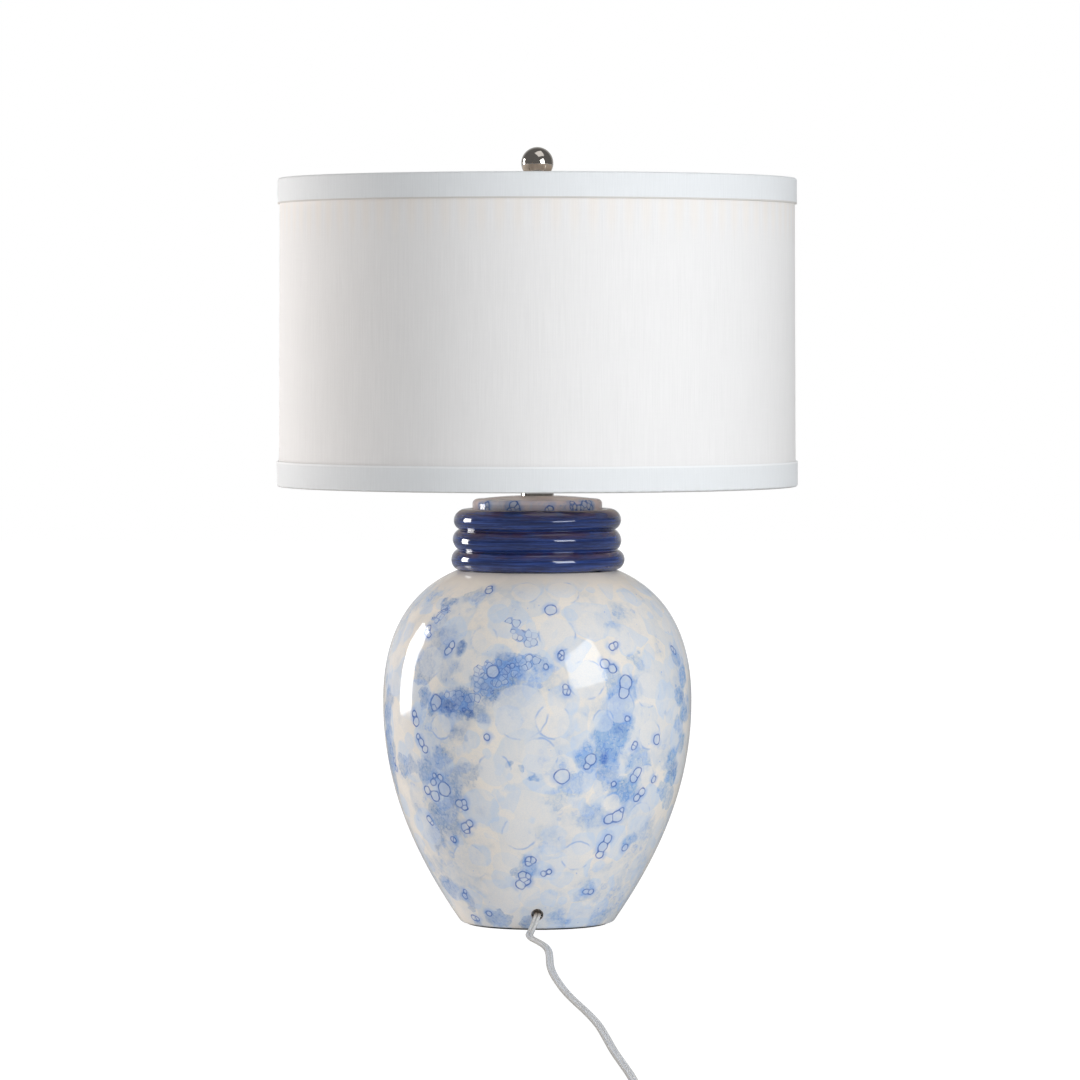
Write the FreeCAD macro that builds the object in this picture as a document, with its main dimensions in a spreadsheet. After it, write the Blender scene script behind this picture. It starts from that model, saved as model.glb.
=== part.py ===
import FreeCAD, Part
import math
import os
import re

import Sketcher
from FreeCAD import Placement, Rotation, Vector

# Ginger jar table lamp, in millimetres. A glazed ceramic jar with three stacked rings round its neck and
# a domed lid carries a socket, a harp and a fabric drum shade. The lamp stands on the XY plane with its
# axis on Z, its harp lies in the XZ plane, and its cord leaves the foot towards -Y.

SIZES = (
    ("felt_thickness", 1.5, "felt ring glued under the foot"),
    ("felt_margin", 0.8, "felt ring set in from both edges of the foot"),
    ("foot_radius", 67.7, "jar flank carried down to the foot's plane"),
    ("foot_round", 4.5, "rounded outer edge of the foot"),
    ("recess_radius", 52.0, "mouth of the recess under the jar"),
    ("recess_draw", 8.0, "recess is this much wider at its top"),
    ("recess_height", 36.5, "jar floor's underside above the foot"),
    ("floor_thickness", 8.0, "jar floor"),
    ("jar_wall", 7.0, "jar wall at the belly, shoulder and neck"),
    ("flank_lean", 34.8, "flank at the foot, degrees from upright"),
    ("flank_pull", 80.7, "how far the flank keeps its lean"),
    ("belly_radius", 136.8, "widest point of the jar"),
    ("belly_height", 196.1, "widest point above the foot"),
    ("belly_pull_low", 68.7, "how far the belly stays upright below its widest point"),
    ("belly_pull_high", 68.0, "how far the belly stays upright above its widest point"),
    ("shoulder_lean", 23.0, "shoulder at the ledge, degrees from level"),
    ("shoulder_pull", 39.0, "how far the shoulder keeps its slope"),
    ("ledge_radius", 71.6, "outer edge of the ledge that carries the rings"),
    ("ledge_height", 311.9, "ledge above the foot"),
    ("neck_radius", 57.5, "outside of the jar's neck, under the rings"),
    ("neck_height", 53.1, "jar's neck above the ledge"),
    ("cavity_inset", 12.0, "floor corner of the cavity, in from the flank's line"),
    ("cavity_lean", 31.0, "cavity wall at the floor, degrees from upright"),
    ("cavity_pull", 50.0, "how far the cavity wall keeps its lean"),
    ("cord_hole_radius", 5.25, "cord hole drilled through the foot"),
    ("cord_hole_height", 13.5, "cord hole's axis above the foot"),
    ("ring_height", 18.2, "one ring of the collar"),
    ("low_ring_radius", 77.1, "lowest ring"),
    ("middle_ring_radius", 74.9, "middle ring"),
    ("high_ring_radius", 74.4, "highest ring"),
    ("ring_notch", 5.2, "depth of the groove between two rings"),
    ("ring_tuck", 8.4, "rounding of the collar at its foot and its top"),
    ("collar_gap", 0.5, "glue gap between the neck and the collar"),
    ("lid_rim_height", 6.5, "upright edge of the lid"),
    ("lid_round", 5.5, "rounded shoulder of the lid"),
    ("lid_round_rise", 3.7, "height of that shoulder"),
    ("lid_crown", 2.9, "rise of the lid's top from its shoulder to its centre"),
    ("lid_wall", 7.0, "thickness of the lid"),
    ("lip_length", 8.0, "locating lip under the lid"),
    ("lip_wall", 5.5, "thickness of that lip"),
    ("lip_gap", 0.7, "between the lip and the jar's neck"),
    ("pipe_radius", 5.1, "threaded lamp pipe"),
    ("pipe_bore", 3.6, "bore of the lamp pipe"),
    ("pipe_gap", 0.2, "round the pipe in metal parts"),
    ("ceramic_gap", 0.8, "round the pipe in ceramic parts"),
    ("pipe_stub", 1.5, "pipe below its nut"),
    ("plate_radius", 24.0, "clamping plate under the jar's floor"),
    ("plate_thickness", 2.0, "clamping plate"),
    ("washer_radius", 9.5, "lock washer"),
    ("washer_thickness", 1.6, "lock washer"),
    ("washer_slit", 2.0, "split in the lock washer"),
    ("nut_flats", 14.3, "lock nut across its flats"),
    ("nut_thickness", 5.0, "lock nut"),
    ("neck_tube_radius", 14.6, "nickel neck between the lid and the saddle"),
    ("neck_tube_height", 25.4, "nickel neck"),
    ("neck_tube_wall", 1.2, "nickel neck"),
    ("strap_thickness", 1.5, "saddle strap"),
    ("strap_width", 9.5, "saddle strap"),
    ("saddle_disc_radius", 10.0, "saddle's seat round the pipe"),
    ("saddle_bend", 18.0, "outer radius of the saddle's bends"),
    ("tab_width", 4.0, "saddle's upright tabs"),
    ("tab_height", 13.2, "saddle's upright tabs above the strap's shoulder"),
    ("harp_height", 241.3, "harp from the saddle's foot to the shade's seat"),
    ("harp_curves", 211.3, "that height without the straight stretch at the harp's widest"),
    ("harp_spread", 60.0, "between the harp's two legs"),
    ("harp_width", 114.0, "harp at its widest"),
    ("harp_wire", 1.8, "radius of the harp's wire"),
    ("harp_leg", 31.0, "straight length of each leg"),
    ("harp_flare", 50.0, "bend from each leg into the bow"),
    ("harp_flare_angle", 28.0, "degrees"),
    ("harp_flat", 18.0, "flattened top of the harp"),
    ("harp_flat_width", 8.0, "flattened top of the harp"),
    ("harp_flat_thickness", 2.0, "flattened top of the harp"),
    ("ferrule_radius", 3.6, "locking sleeves on the harp's legs"),
    ("ferrule_wall", 0.7, "locking sleeves"),
    ("ferrule_height", 16.0, "locking sleeves"),
    ("ferrule_lip", 1.5, "closed top of each sleeve"),
    ("seat_gap", 0.3, "between a sleeve and the strap that it rests on"),
    ("slide_gap", 0.07, "running clearance of a sliding or turning fit"),
    ("leg_gap", 0.1, "between a leg's foot and its tab"),
    ("stud_radius", 3.1, "threaded stud on top of the harp"),
    ("stud_height", 12.0, "threaded stud above its flange"),
    ("stud_flange_radius", 6.3, "flange that the shade sits on"),
    ("stud_flange", 1.5, "flange thickness"),
    ("stud_pin_radius", 1.9, "swivel pin through the harp's top"),
    ("stud_head_radius", 3.4, "riveted head under the harp's top"),
    ("stud_head", 1.2, "riveted head"),
    ("stud_play", 0.15, "swivel's play above and below the harp's top"),
    ("hub_radius", 12.7, "washer in the middle of the spider"),
    ("hub_thickness", 1.2, "that washer"),
    ("hub_gap", 0.3, "between the washer and the stud"),
    ("spider_drop", 13.6, "spider's seat below the shade's top edge"),
    ("arm_wire", 1.6, "radius of the spider's arms"),
    ("arm_start", 8.8, "arms' inner ends from the axis"),
    ("arm_bend", 12.0, "radius of the bends near the ring"),
    ("arm_slope", 30.0, "degrees between those bends"),
    ("arm_foot", 6.0, "straight end of each arm at the ring"),
    ("arm_count", 3, "arms"),
    ("shade_height", 271.9, "shade from edge to edge"),
    ("shade_bottom_radius", 228.8, "outside of the fabric at the bottom"),
    ("shade_taper", 1.2, "the top's radius is smaller by this"),
    ("shade_wall", 1.2, "fabric on its stiff backing"),
    ("shade_ring_wire", 1.6, "radius of the wire rings in both edges"),
    ("trim_height", 22.5, "band round each edge"),
    ("trim_proud", 1.8, "band outside the fabric"),
    ("trim_return", 12.0, "band turned down inside the edge"),
    ("trim_wall", 0.8, "turned-in band"),
    ("trim_round", 2.0, "rounded fold of the band"),
    ("trim_gap", 0.15, "between the band, the rings and the fabric"),
    ("trim_notch", 5.2, "slots in the upper band for the spider's arms"),
    ("notch_lead", 2.0, "start of the slots' cut inside the arms' feet"),
    ("finial_flange_radius", 7.5, "foot of the finial"),
    ("finial_flange", 2.2, "foot of the finial"),
    ("finial_waist_radius", 4.9, "finial under its ball"),
    ("finial_shank", 12.0, "finial under its ball"),
    ("finial_ball_radius", 14.2, "finial's ball"),
    ("finial_bore_depth", 13.5, "threaded hole for the stud"),
    ("cap_bush_radius", 9.0, "threaded neck of the socket's cap"),
    ("cap_bush_height", 5.0, "threaded neck of the socket's cap"),
    ("cap_radius", 17.2, "socket's cap"),
    ("cap_height", 20.0, "socket's cap"),
    ("cap_bell_height", 15.0, "curved part of the cap ends here"),
    ("cap_wall", 0.8, "socket's cap"),
    ("shell_gap", 0.2, "between the cap, the shell and its lining"),
    ("shell_wall", 0.7, "socket's shell"),
    ("shell_bottom", 16.0, "shell starts here inside the cap"),
    ("shell_top", 56.0, "shell's upper edge above the saddle"),
    ("shell_bead", 1.0, "rolled bead on that edge"),
    ("liner_wall", 0.9, "card lining of the shell"),
    ("liner_inset", 1.0, "lining is this much shorter at each end"),
    ("insulator_radius", 13.9, "moulded body inside the socket"),
    ("insulator_bottom", 10.0, "moulded body starts here"),
    ("insulator_top", 31.0, "moulded body ends here"),
    ("terminal_flat", 11.2, "flats that carry the terminal screws"),
    ("terminal_height", 16.5, "terminal screws above the saddle"),
    ("terminal_head_radius", 3.2, "terminal screw's head"),
    ("terminal_head", 1.7, "terminal screw's head"),
    ("terminal_shank_radius", 1.5, "terminal screw's shank"),
    ("terminal_shank", 5.0, "terminal screw's shank"),
    ("set_screw_radius", 1.4, "set screw in the cap's neck"),
    ("set_screw_height", 2.5, "set screw above the cap's foot"),
    ("set_screw_proud", 1.5, "set screw outside the cap's neck"),
    ("screw_shell_radius", 14.0, "threaded sleeve for the bulb, outside"),
    ("screw_shell_bore", 13.4, "threaded sleeve for the bulb, inside"),
    ("screw_shell_height", 24.0, "threaded sleeve for the bulb"),
    ("contact_width", 5.0, "centre contact"),
    ("contact_thickness", 0.6, "centre contact"),
    ("contact_rise", 2.6, "centre contact's tip above the moulded body"),
    ("contact_reach", 6.0, "half of the centre contact's length"),
    ("switch_height", 26.0, "switch shaft above the saddle"),
    ("shaft_radius", 1.8, "switch shaft"),
    ("shaft_inner", 6.0, "shaft's inner end from the lamp's axis"),
    ("knob_inner", 20.0, "knob's inner face from the lamp's axis"),
    ("knob_length", 16.0, "knob"),
    ("knob_collar", 4.0, "round part of the knob"),
    ("knob_radius", 5.2, "knob"),
    ("knob_thickness", 4.4, "knob's flattened grip"),
    ("knob_hole_depth", 9.0, "hole for the shaft"),
    ("slot_width", 5.2, "slot for the shaft in the shell and its lining"),
    ("bulb_gap", 0.4, "between the bulb's tip and the centre contact"),
    ("bulb_tip_radius", 4.6, "bulb's contact"),
    ("bulb_tip", 1.2, "bulb's contact"),
    ("bulb_button_radius", 9.4, "insulating cone round the contact"),
    ("bulb_button_top", 5.0, "insulating cone round the contact"),
    ("bulb_thread_root", 12.3, "bulb's thread"),
    ("bulb_thread_crest", 13.0, "bulb's thread"),
    ("bulb_thread_pitch", 3.6, "bulb's thread"),
    ("bulb_thread_start", 6.5, "bulb's thread above its tip"),
    ("bulb_cap_height", 26.0, "bulb's metal cap"),
    ("bulb_radius", 30.0, "bulb's globe"),
    ("bulb_height", 108.0, "bulb from its tip to its crown"),
    ("bulb_glass", 0.9, "thickness of the glass"),
    ("cord_radius", 3.2, "half the width of the flat cord"),
    ("cord_exit", 68.0, "cord's free stretch starts here inside its hole"),
    ("cord_bend", 13.0, "cord's turn from the hole into the pipe"),
    ("cord_above_pipe", 2.0, "cord's end inside the socket's cap"),
    ("coil_radius", 38.5, "outer turn of the coil, at the middle of the cord"),
    ("coil_turns", 3.25, "turns in the coil"),
    ("turn_pitch", 6.9, "from one turn to the next, across and up"),
    ("tie_thickness", 0.6, "tie round the coil"),
    ("tie_width", 8.0, "tie round the coil"),
    ("tie_gap", 0.3, "between the tie and the turns"),
    ("plug_lead", 34.0, "cord from the coil to the plug"),
    ("plug_width", 24.0, "plug across its front"),
    ("plug_thickness", 15.0, "plug across its front"),
    ("plug_waist_width", 19.0, "plug where the fingers hold it"),
    ("plug_rear_width", 15.0, "plug at its rear"),
    ("plug_rear_thickness", 11.0, "plug at its rear"),
    ("plug_length", 27.0, "plug without its sleeve"),
    ("sleeve_length", 22.0, "strain relief sleeve behind the plug"),
    ("sleeve_radius", 4.6, "sleeve at its free end"),
    ("sleeve_root_radius", 5.2, "sleeve at the plug"),
    ("sleeve_groove", 0.9, "depth of the sleeve's grooves"),
    ("blade_spacing", 12.7, "between the two blades"),
    ("blade_length", 17.5, "blades outside the plug"),
    ("blade_root", 8.0, "blades inside the plug"),
    ("blade_thickness", 1.5, "blades"),
    ("blade_width", 6.35, "line blade"),
    ("wide_blade_width", 7.9, "neutral blade"),
    ("blade_hole_radius", 1.6, "hole in each blade"),
    ("blade_hole_inset", 4.4, "that hole from the blade's tip"),
)

PLACES = (
    ("floor_top", "recess_height + floor_thickness", "jar's floor above the foot"),
    ("neck_bore", "neck_radius - jar_wall", "inside of the jar's neck"),
    ("cavity_corner", "foot_radius + floor_top * tan(flank_lean) - cavity_inset", "cavity at the floor"),
    ("cavity_shoulder_pull", "shoulder_pull + ledge_radius - neck_bore", "cavity under the shoulder"),
    ("ledge_z", "felt_thickness + ledge_height", "ledge above the table"),
    ("rim_z", "ledge_z + neck_height", "jar's rim above the table"),
    ("lid_height", "lid_rim_height + lid_round_rise + lid_crown", "lid above the jar's rim"),
    ("lid_top_z", "rim_z + lid_height", "lid's top above the table"),
    ("saddle_z", "lid_top_z + neck_tube_height", "saddle's underside"),
    ("socket_z", "saddle_z + strap_thickness", "socket's foot"),
    ("plate_z", "felt_thickness + recess_height - plate_thickness", "clamping plate's underside"),
    ("washer_z", "plate_z - washer_thickness", "lock washer's underside"),
    ("nut_z", "washer_z - nut_thickness", "lock nut's underside"),
    ("pipe_z", "nut_z - pipe_stub", "pipe's lower end"),
    ("pipe_top_z", "socket_z + cap_bush_height + pipe_stub", "pipe's upper end"),
    ("tab_outer", "harp_spread / 2 + harp_wire", "outer face of the saddle's tabs"),
    ("tab_inner", "tab_outer - strap_thickness", "inner face of the saddle's tabs"),
    ("bend_x", "tab_outer - saddle_bend", "centre of the saddle's bends"),
    ("tab_foot", "saddle_bend + 0.3", "strap's shoulder above the saddle's underside"),
    ("tab_top", "tab_foot + tab_height", "top of the tabs"),
    ("leg_foot", "tab_foot + seat_gap", "lower end of the harp's legs"),
    ("leg_cut", "tab_inner - leg_gap", "flat face of each leg's foot"),
    ("harp_seat_z", "saddle_z + harp_height", "shade's seat"),
    ("harp_top", "harp_height - stud_flange - stud_play - harp_flat_thickness / 2", "wire's middle"),
    ("flare_x", "harp_spread / 2 + harp_flare * (1 - cos(harp_flare_angle))", "end of the flare"),
    ("flare_height", "leg_foot + harp_leg + harp_flare * sin(harp_flare_angle)", "end of the flare"),
    ("bow_radius", "(harp_width / 2 - harp_wire - flare_x) / (1 - cos(harp_flare_angle))", "harp's sides"),
    ("harp_side", "harp_height - harp_curves", "straight stretch at the harp's widest"),
    ("bow_height", "flare_height + bow_radius * sin(harp_flare_angle) + harp_side", "its upper end"),
    ("bow_reach", "harp_flat / 2 + bow_radius - harp_width / 2 + harp_wire", "from flat to bow's centre"),
    ("crown_tangent", "(bow_radius - harp_top + bow_height) / bow_reach", "half angle of the crown"),
    ("crown_angle", "90 - 2 * atan(crown_tangent) / 1 deg", "lean of the harp's sides at the crown"),
    ("crown_radius", "bow_radius - bow_reach / cos(crown_angle)", "harp's upper corners"),
    ("hub_top_z", "harp_seat_z + hub_thickness", "finial's seat"),
    ("arm_z", "hub_top_z + arm_wire", "middle of the spider's arms"),
    ("shade_top_z", "harp_seat_z + spider_drop", "shade's top edge"),
    ("shade_bottom_z", "shade_top_z - shade_height", "shade's bottom edge"),
    ("shade_top_radius", "shade_bottom_radius - shade_taper", "outside of the fabric at the top"),
    ("panel_inset", "trim_wall + trim_gap", "fabric's edge inside the band"),
    ("top_ring_radius", "shade_top_radius - shade_wall - trim_gap - shade_ring_wire", "upper ring"),
    ("bottom_ring_radius", "shade_bottom_radius - shade_wall - trim_gap - shade_ring_wire", "lower ring"),
    ("ring_inset", "panel_inset + shade_ring_wire", "rings from the shade's edges"),
    ("arm_rise", "shade_top_z - ring_inset - arm_z", "arms climb this much to the upper ring"),
    ("arm_climb", "(arm_rise - 2 * arm_bend * (1 - cos(arm_slope))) / sin(arm_slope)", "sloping part"),
    ("arm_end", "top_ring_radius - shade_ring_wire - leg_gap", "arms' outer ends"),
    ("arm_slant", "2 * arm_bend * sin(arm_slope) + arm_climb * cos(arm_slope)", "bends and slope, level"),
    ("arm_run", "arm_end - arm_foot - arm_slant", "end of the arms' straight inner stretch"),
    ("top_trim_inner", "top_ring_radius - shade_ring_wire - trim_gap - trim_wall", "upper band"),
    ("bottom_trim_inner", "bottom_ring_radius - shade_ring_wire - trim_gap - trim_wall", "lower band"),
    ("shell_radius", "cap_radius - cap_wall - shell_gap", "socket's shell"),
    ("liner_radius", "shell_radius - shell_wall - shell_gap", "shell's lining"),
    ("slot_top", "switch_height + slot_width / 2", "slot for the switch shaft"),
    ("bulb_z", "socket_z + insulator_top + contact_rise + contact_thickness + bulb_gap", "bulb's tip"),
    ("cord_z", "felt_thickness + cord_hole_height", "cord's height in its hole"),
    ("coil_z", "cord_radius + tie_thickness + tie_gap", "middle of the coil's lower layer"),
    ("coil_core", "coil_radius - turn_pitch * coil_turns / 2", "smallest turn of the coil"),
    ("plug_z", "plug_thickness / 2", "middle of the plug"),
)

# The cord's free stretch, from inside its hole to the coil: x, y and height above the table.
CORD_ROUTE = (
    (0.3, -68.0, 15.0),
    (0.2, -78.0, 15.0),
    (-1.4, -87.0, 11.2),
    (-4.0, -95.5, 5.4),
    (-6.4, -106.0, 3.2),
    (-7.2, -124.0, 3.2),
    (-4.6, -149.0, 3.2),
    (1.4, -176.0, 3.2),
    (7.0, -207.0, 3.2),
    (9.9, -246.0, 3.2),
    (10.5, -298.0, 3.2),
    (10.6, -352.0, 3.2),
    (12.9, -410.0, 3.2),
    (17.1, -470.0, 3.2),
    (22.4, -532.0, 3.2),
    (29.6, -596.0, 3.2),
    (38.4, -664.0, 3.2),
    (46.2, -736.0, 3.2),
    (51.2, -812.0, 3.2),
    (55.6, -890.0, 3.2),
    (61.6, -966.0, 3.2),
    (67.4, -1040.0, 3.2),
    (69.6, -1106.0, 3.7),
    (70.0, -1160.0, 4.1),
)
COIL_START = (70.0, -1196.0)

doc = FreeCAD.newDocument("ginger_jar_lamp")
nodes = []


def fill_sheet(name, rows, formula):
    """One row for each size: its name, its value and what it is."""
    sheet = doc.addObject("Spreadsheet::Sheet", name)
    for row, (alias, value, meaning) in enumerate(rows, 1):
        sheet.set(f"A{row}", alias)
        sheet.setAlias(f"B{row}", alias)
        sheet.set(f"B{row}", "=" + expand(value) if formula else str(value))
        sheet.set(f"C{row}", meaning)
    return sheet


def expand(text):
    """Puts its sheet's name before each size in an expression."""
    return re.sub(r"[a-z]\w*", lambda word: HOME.get(word.group(), "") + word.group(), text)


def value(text):
    """The number that an expression gives, in millimetres or degrees."""
    result = size.evalExpression(expand(text))
    return float(getattr(result, "Value", result))


HOME = {row[0]: "size." for row in SIZES} | {row[0]: "place." for row in PLACES}
size = fill_sheet("size", SIZES, False)
doc.recompute()
place = fill_sheet("place", PLACES, True)
doc.recompute()


def bind(feature, **texts):
    """Binds a feature's properties to expressions."""
    for name, text in texts.items():
        feature.setExpression(name.replace("__", "."), expand(text))


def keep(feature, name):
    """Labels a finished sub-part and lists it for export."""
    feature.Label = name
    nodes.append(feature)
    return feature


def new_body(name, z="0"):
    """A body whose own origin stands at height z on the lamp's axis."""
    body = doc.addObject("PartDesign::Body", name + "_body")
    body.AllowCompound = True
    bind(body, Placement__Base__z=z)
    return keep(body, name)


def new_sketch(body, name, plane="XZ_Plane", lift=None):
    """A sketch on one of the body's own origin planes, lifted along that plane's normal."""
    sketch = body.newObject("Sketcher::SketchObject", name)
    support = [feature for feature in body.Origin.OriginFeatures if feature.Role == plane]
    sketch.AttachmentSupport = (support[0], [""])
    sketch.MapMode = "FlatFace"
    if lift:
        bind(sketch, AttachmentOffset__Base__z=lift)
    return sketch


def tie(sketch, *constraint):
    """Adds one constraint."""
    return sketch.addConstraint(Sketcher.Constraint(*constraint))


def measure(sketch, kind, *target, text):
    """Adds a dimension that an expression drives."""
    number = value(text)
    index = tie(sketch, kind, *target, math.radians(number) if kind == "Angle" else number)
    sketch.setExpression(f"Constraints[{index}]", expand(text))


def hold(sketch, geometry, vertex, x, y):
    """Holds a point by its two distances from the sketch's origin, or on an axis."""
    for text, kind, axis in ((x, "DistanceX", -2), (y, "DistanceY", -1)):
        if text == "0":
            tie(sketch, "PointOnObject", geometry, vertex, axis)
        else:
            measure(sketch, kind, -1, 1, geometry, vertex, text=text)


def point(x, y):
    return Vector(value(x), value(y), 0)


def arc_edge(start, middle, end):
    """An anticlockwise arc through three points, with the vertex numbers of its start and end."""
    centre = Part.Arc(start, middle, end).toShape().Curve.Center
    angles = [math.atan2(corner.y - centre.y, corner.x - centre.x) for corner in (start, end)]
    ends = (1, 2)
    if (middle - start).cross(end - middle).z < 0:
        angles.reverse()
        ends = (2, 1)
    if angles[1] < angles[0]:
        angles[1] += 2 * math.pi
    circle = Part.Circle(centre, Vector(0, 0, 1), (start - centre).Length)
    return Part.ArcOfCircle(circle, *angles), ends


def line(x, y):
    return "line", ((x, y),)


def arc(through_x, through_y, x, y):
    return "arc", ((through_x, through_y), (x, y))


def curve(first_x, first_y, second_x, second_y, x, y):
    return "curve", ((first_x, first_y), (second_x, second_y), (x, y))


def draw(sketch, start, *steps):
    """Draws a closed outline of lines, arcs through a point and cubic curves, and holds every point."""
    corner = start
    loop = []
    closing = () if steps[-1][1][-1] == start else (line(*start),)
    for kind, spots in steps + closing:
        points = [point(*corner)] + [point(*spot) for spot in spots]
        if kind == "line":
            edge = sketch.addGeometry(Part.LineSegment(*points))
            ends = (1, 2)
        elif kind == "arc":
            geometry, ends = arc_edge(*points)
            edge = sketch.addGeometry(geometry)
            middle = sketch.addGeometry(Part.Point(points[1]), True)
            hold(sketch, middle, 1, *spots[0])
            tie(sketch, "PointOnObject", middle, 1, edge)
        else:
            spline = Part.BSplineCurve()
            spline.buildFromPolesMultsKnots(points, [4, 4], [0, 1], False, 3)
            edge = sketch.addGeometry(spline)
            sketch.exposeInternalGeometry(edge)
            ends = (1, 2)
            hold(sketch, edge + 2, 3, *spots[0])
            hold(sketch, edge + 3, 3, *spots[1])
        hold(sketch, edge, ends[1], *spots[-1])
        loop.append((edge, ends))
        corner = spots[-1]
    for (before, before_ends), (after, after_ends) in zip(loop, loop[1:] + loop[:1]):
        tie(sketch, "Coincident", before, before_ends[1], after, after_ends[0])


def circle(sketch, radius, x="0", y="0"):
    """A full circle whose centre and radius follow expressions."""
    edge = sketch.addGeometry(Part.Circle(point(x, y), Vector(0, 0, 1), value(radius)))
    hold(sketch, edge, 3, x, y)
    measure(sketch, "Radius", edge, text=radius)


def box(sketch, left, bottom, right, top):
    """An upright rectangle."""
    draw(sketch, (left, bottom), line(right, bottom), line(right, top), line(left, top))


def go(length):
    return "go", length, None


def turn(angle, radius, left=True):
    return ("left" if left else "right"), angle, radius


def trace(sketch, start, heading, *moves):
    """Draws an open path of straight runs and bends, each tangent to the last, from a held start."""
    spot = point(*start)
    before = None
    for kind, amount, radius in moves:
        ahead = Vector(math.cos(heading), math.sin(heading), 0)
        if kind == "go":
            finish = spot + ahead * value(amount)
            edge = sketch.addGeometry(Part.LineSegment(spot, finish))
            ends = (1, 2)
            measure(sketch, "Distance", edge, text=amount)
        else:
            side = 1 if kind == "left" else -1
            sweep = math.radians(value(amount)) * side
            out = Vector(ahead.y, -ahead.x, 0) * side
            centre = spot - out * value(radius)
            middle = centre + Rotation(Vector(0, 0, 1), math.degrees(sweep / 2)) * out * value(radius)
            finish = centre + Rotation(Vector(0, 0, 1), math.degrees(sweep)) * out * value(radius)
            geometry, ends = arc_edge(spot, middle, finish)
            edge = sketch.addGeometry(geometry)
            measure(sketch, "Radius", edge, text=radius)
            measure(sketch, "Angle", edge, text=amount)
            heading += sweep
        if before is None:
            hold(sketch, edge, ends[0], *start)
            tie(sketch, "Vertical" if abs(ahead.y) > 0.5 else "Horizontal", edge)
        else:
            tie(sketch, "Tangent", *before, edge, ends[0])
        before = (edge, ends[1])
        spot = finish


def revolve(body, sketch):
    """Turns an outline once round the body's upright axis."""
    feature = body.newObject("PartDesign::Revolution", sketch.Name + "_turned")
    feature.Profile = sketch
    feature.ReferenceAxis = (sketch, ["V_Axis"])
    feature.Angle = 360
    return feature


def turned(name, z, start, *steps):
    """A body made by turning one outline round the lamp's axis."""
    body = new_body(name, z)
    sketch = new_sketch(body, name + "_outline")
    draw(sketch, start, *steps)
    revolve(body, sketch)
    return body


def pad(body, sketch, length, both=False):
    """Raises a sketch by a length, or by half of it each way."""
    feature = body.newObject("PartDesign::Pad", sketch.Name + "_raised")
    feature.Profile = sketch
    feature.SideType = "Symmetric" if both else "One side"
    bind(feature, Length=length)
    return feature


def cut(body, sketch, reverse=False, both=False, length=None):
    """Cuts a sketch through the body, one way or both ways, and checks that it took something away."""
    doc.recompute()
    before = body.Shape.Volume
    feature = body.newObject("PartDesign::Pocket", sketch.Name + "_cut")
    feature.Profile = sketch
    feature.Reversed = reverse
    feature.SideType = "Symmetric" if both else "One side"
    if length:
        feature.Type = "Length"
        bind(feature, Length=length)
    else:
        feature.Type = "ThroughAll"
    doc.recompute()
    if body.Shape.Volume >= before - 1e-6:
        raise RuntimeError(f"{sketch.Name} cuts nothing")
    return feature


def pipe(body, profile, spine):
    """Sweeps a sketch along another sketch."""
    feature = body.newObject("PartDesign::AdditivePipe", spine.Name + "_swept")
    feature.Profile = profile
    feature.Spine = spine
    return feature


def around(body, feature, count):
    """Repeats a feature round the body's upright axis."""
    pattern = body.newObject("PartDesign::PolarPattern", feature.Name + "_repeated")
    pattern.Originals = [feature]
    axis = [part for part in body.Origin.OriginFeatures if part.Role == "Z_Axis"]
    pattern.Axis = (axis[0], [""])
    pattern.Angle = 360
    bind(pattern, Occurrences=count)
    body.Tip = pattern
    return pattern


def mirrored(body, features):
    """Repeats features on the other side of the body's YZ plane."""
    mirror = body.newObject("PartDesign::Mirrored", features[-1].Name + "_mirrored")
    mirror.Originals = features
    plane = [part for part in body.Origin.OriginFeatures if part.Role == "YZ_Plane"]
    mirror.MirrorPlane = (plane[0], [""])
    body.Tip = mirror
    return mirror


def round_edges(body, base, radius, wanted):
    """Rounds the edges of a feature for which wanted is true."""
    doc.recompute()
    names = [f"Edge{number}" for number, edge in enumerate(base.Shape.Edges, 1) if wanted(edge)]
    if not names:
        raise RuntimeError(f"{base.Name} has no such edge")
    feature = body.newObject("PartDesign::Fillet", base.Name + "_rounded")
    feature.Base = (base, names)
    bind(feature, Radius=radius)
    return feature


def tube(name, z, outer, inner, height):
    """An upright tube."""
    body = new_body(name, z)
    sketch = new_sketch(body, name + "_section", "XY_Plane")
    circle(sketch, outer)
    circle(sketch, inner)
    pad(body, sketch, height)
    return body


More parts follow.
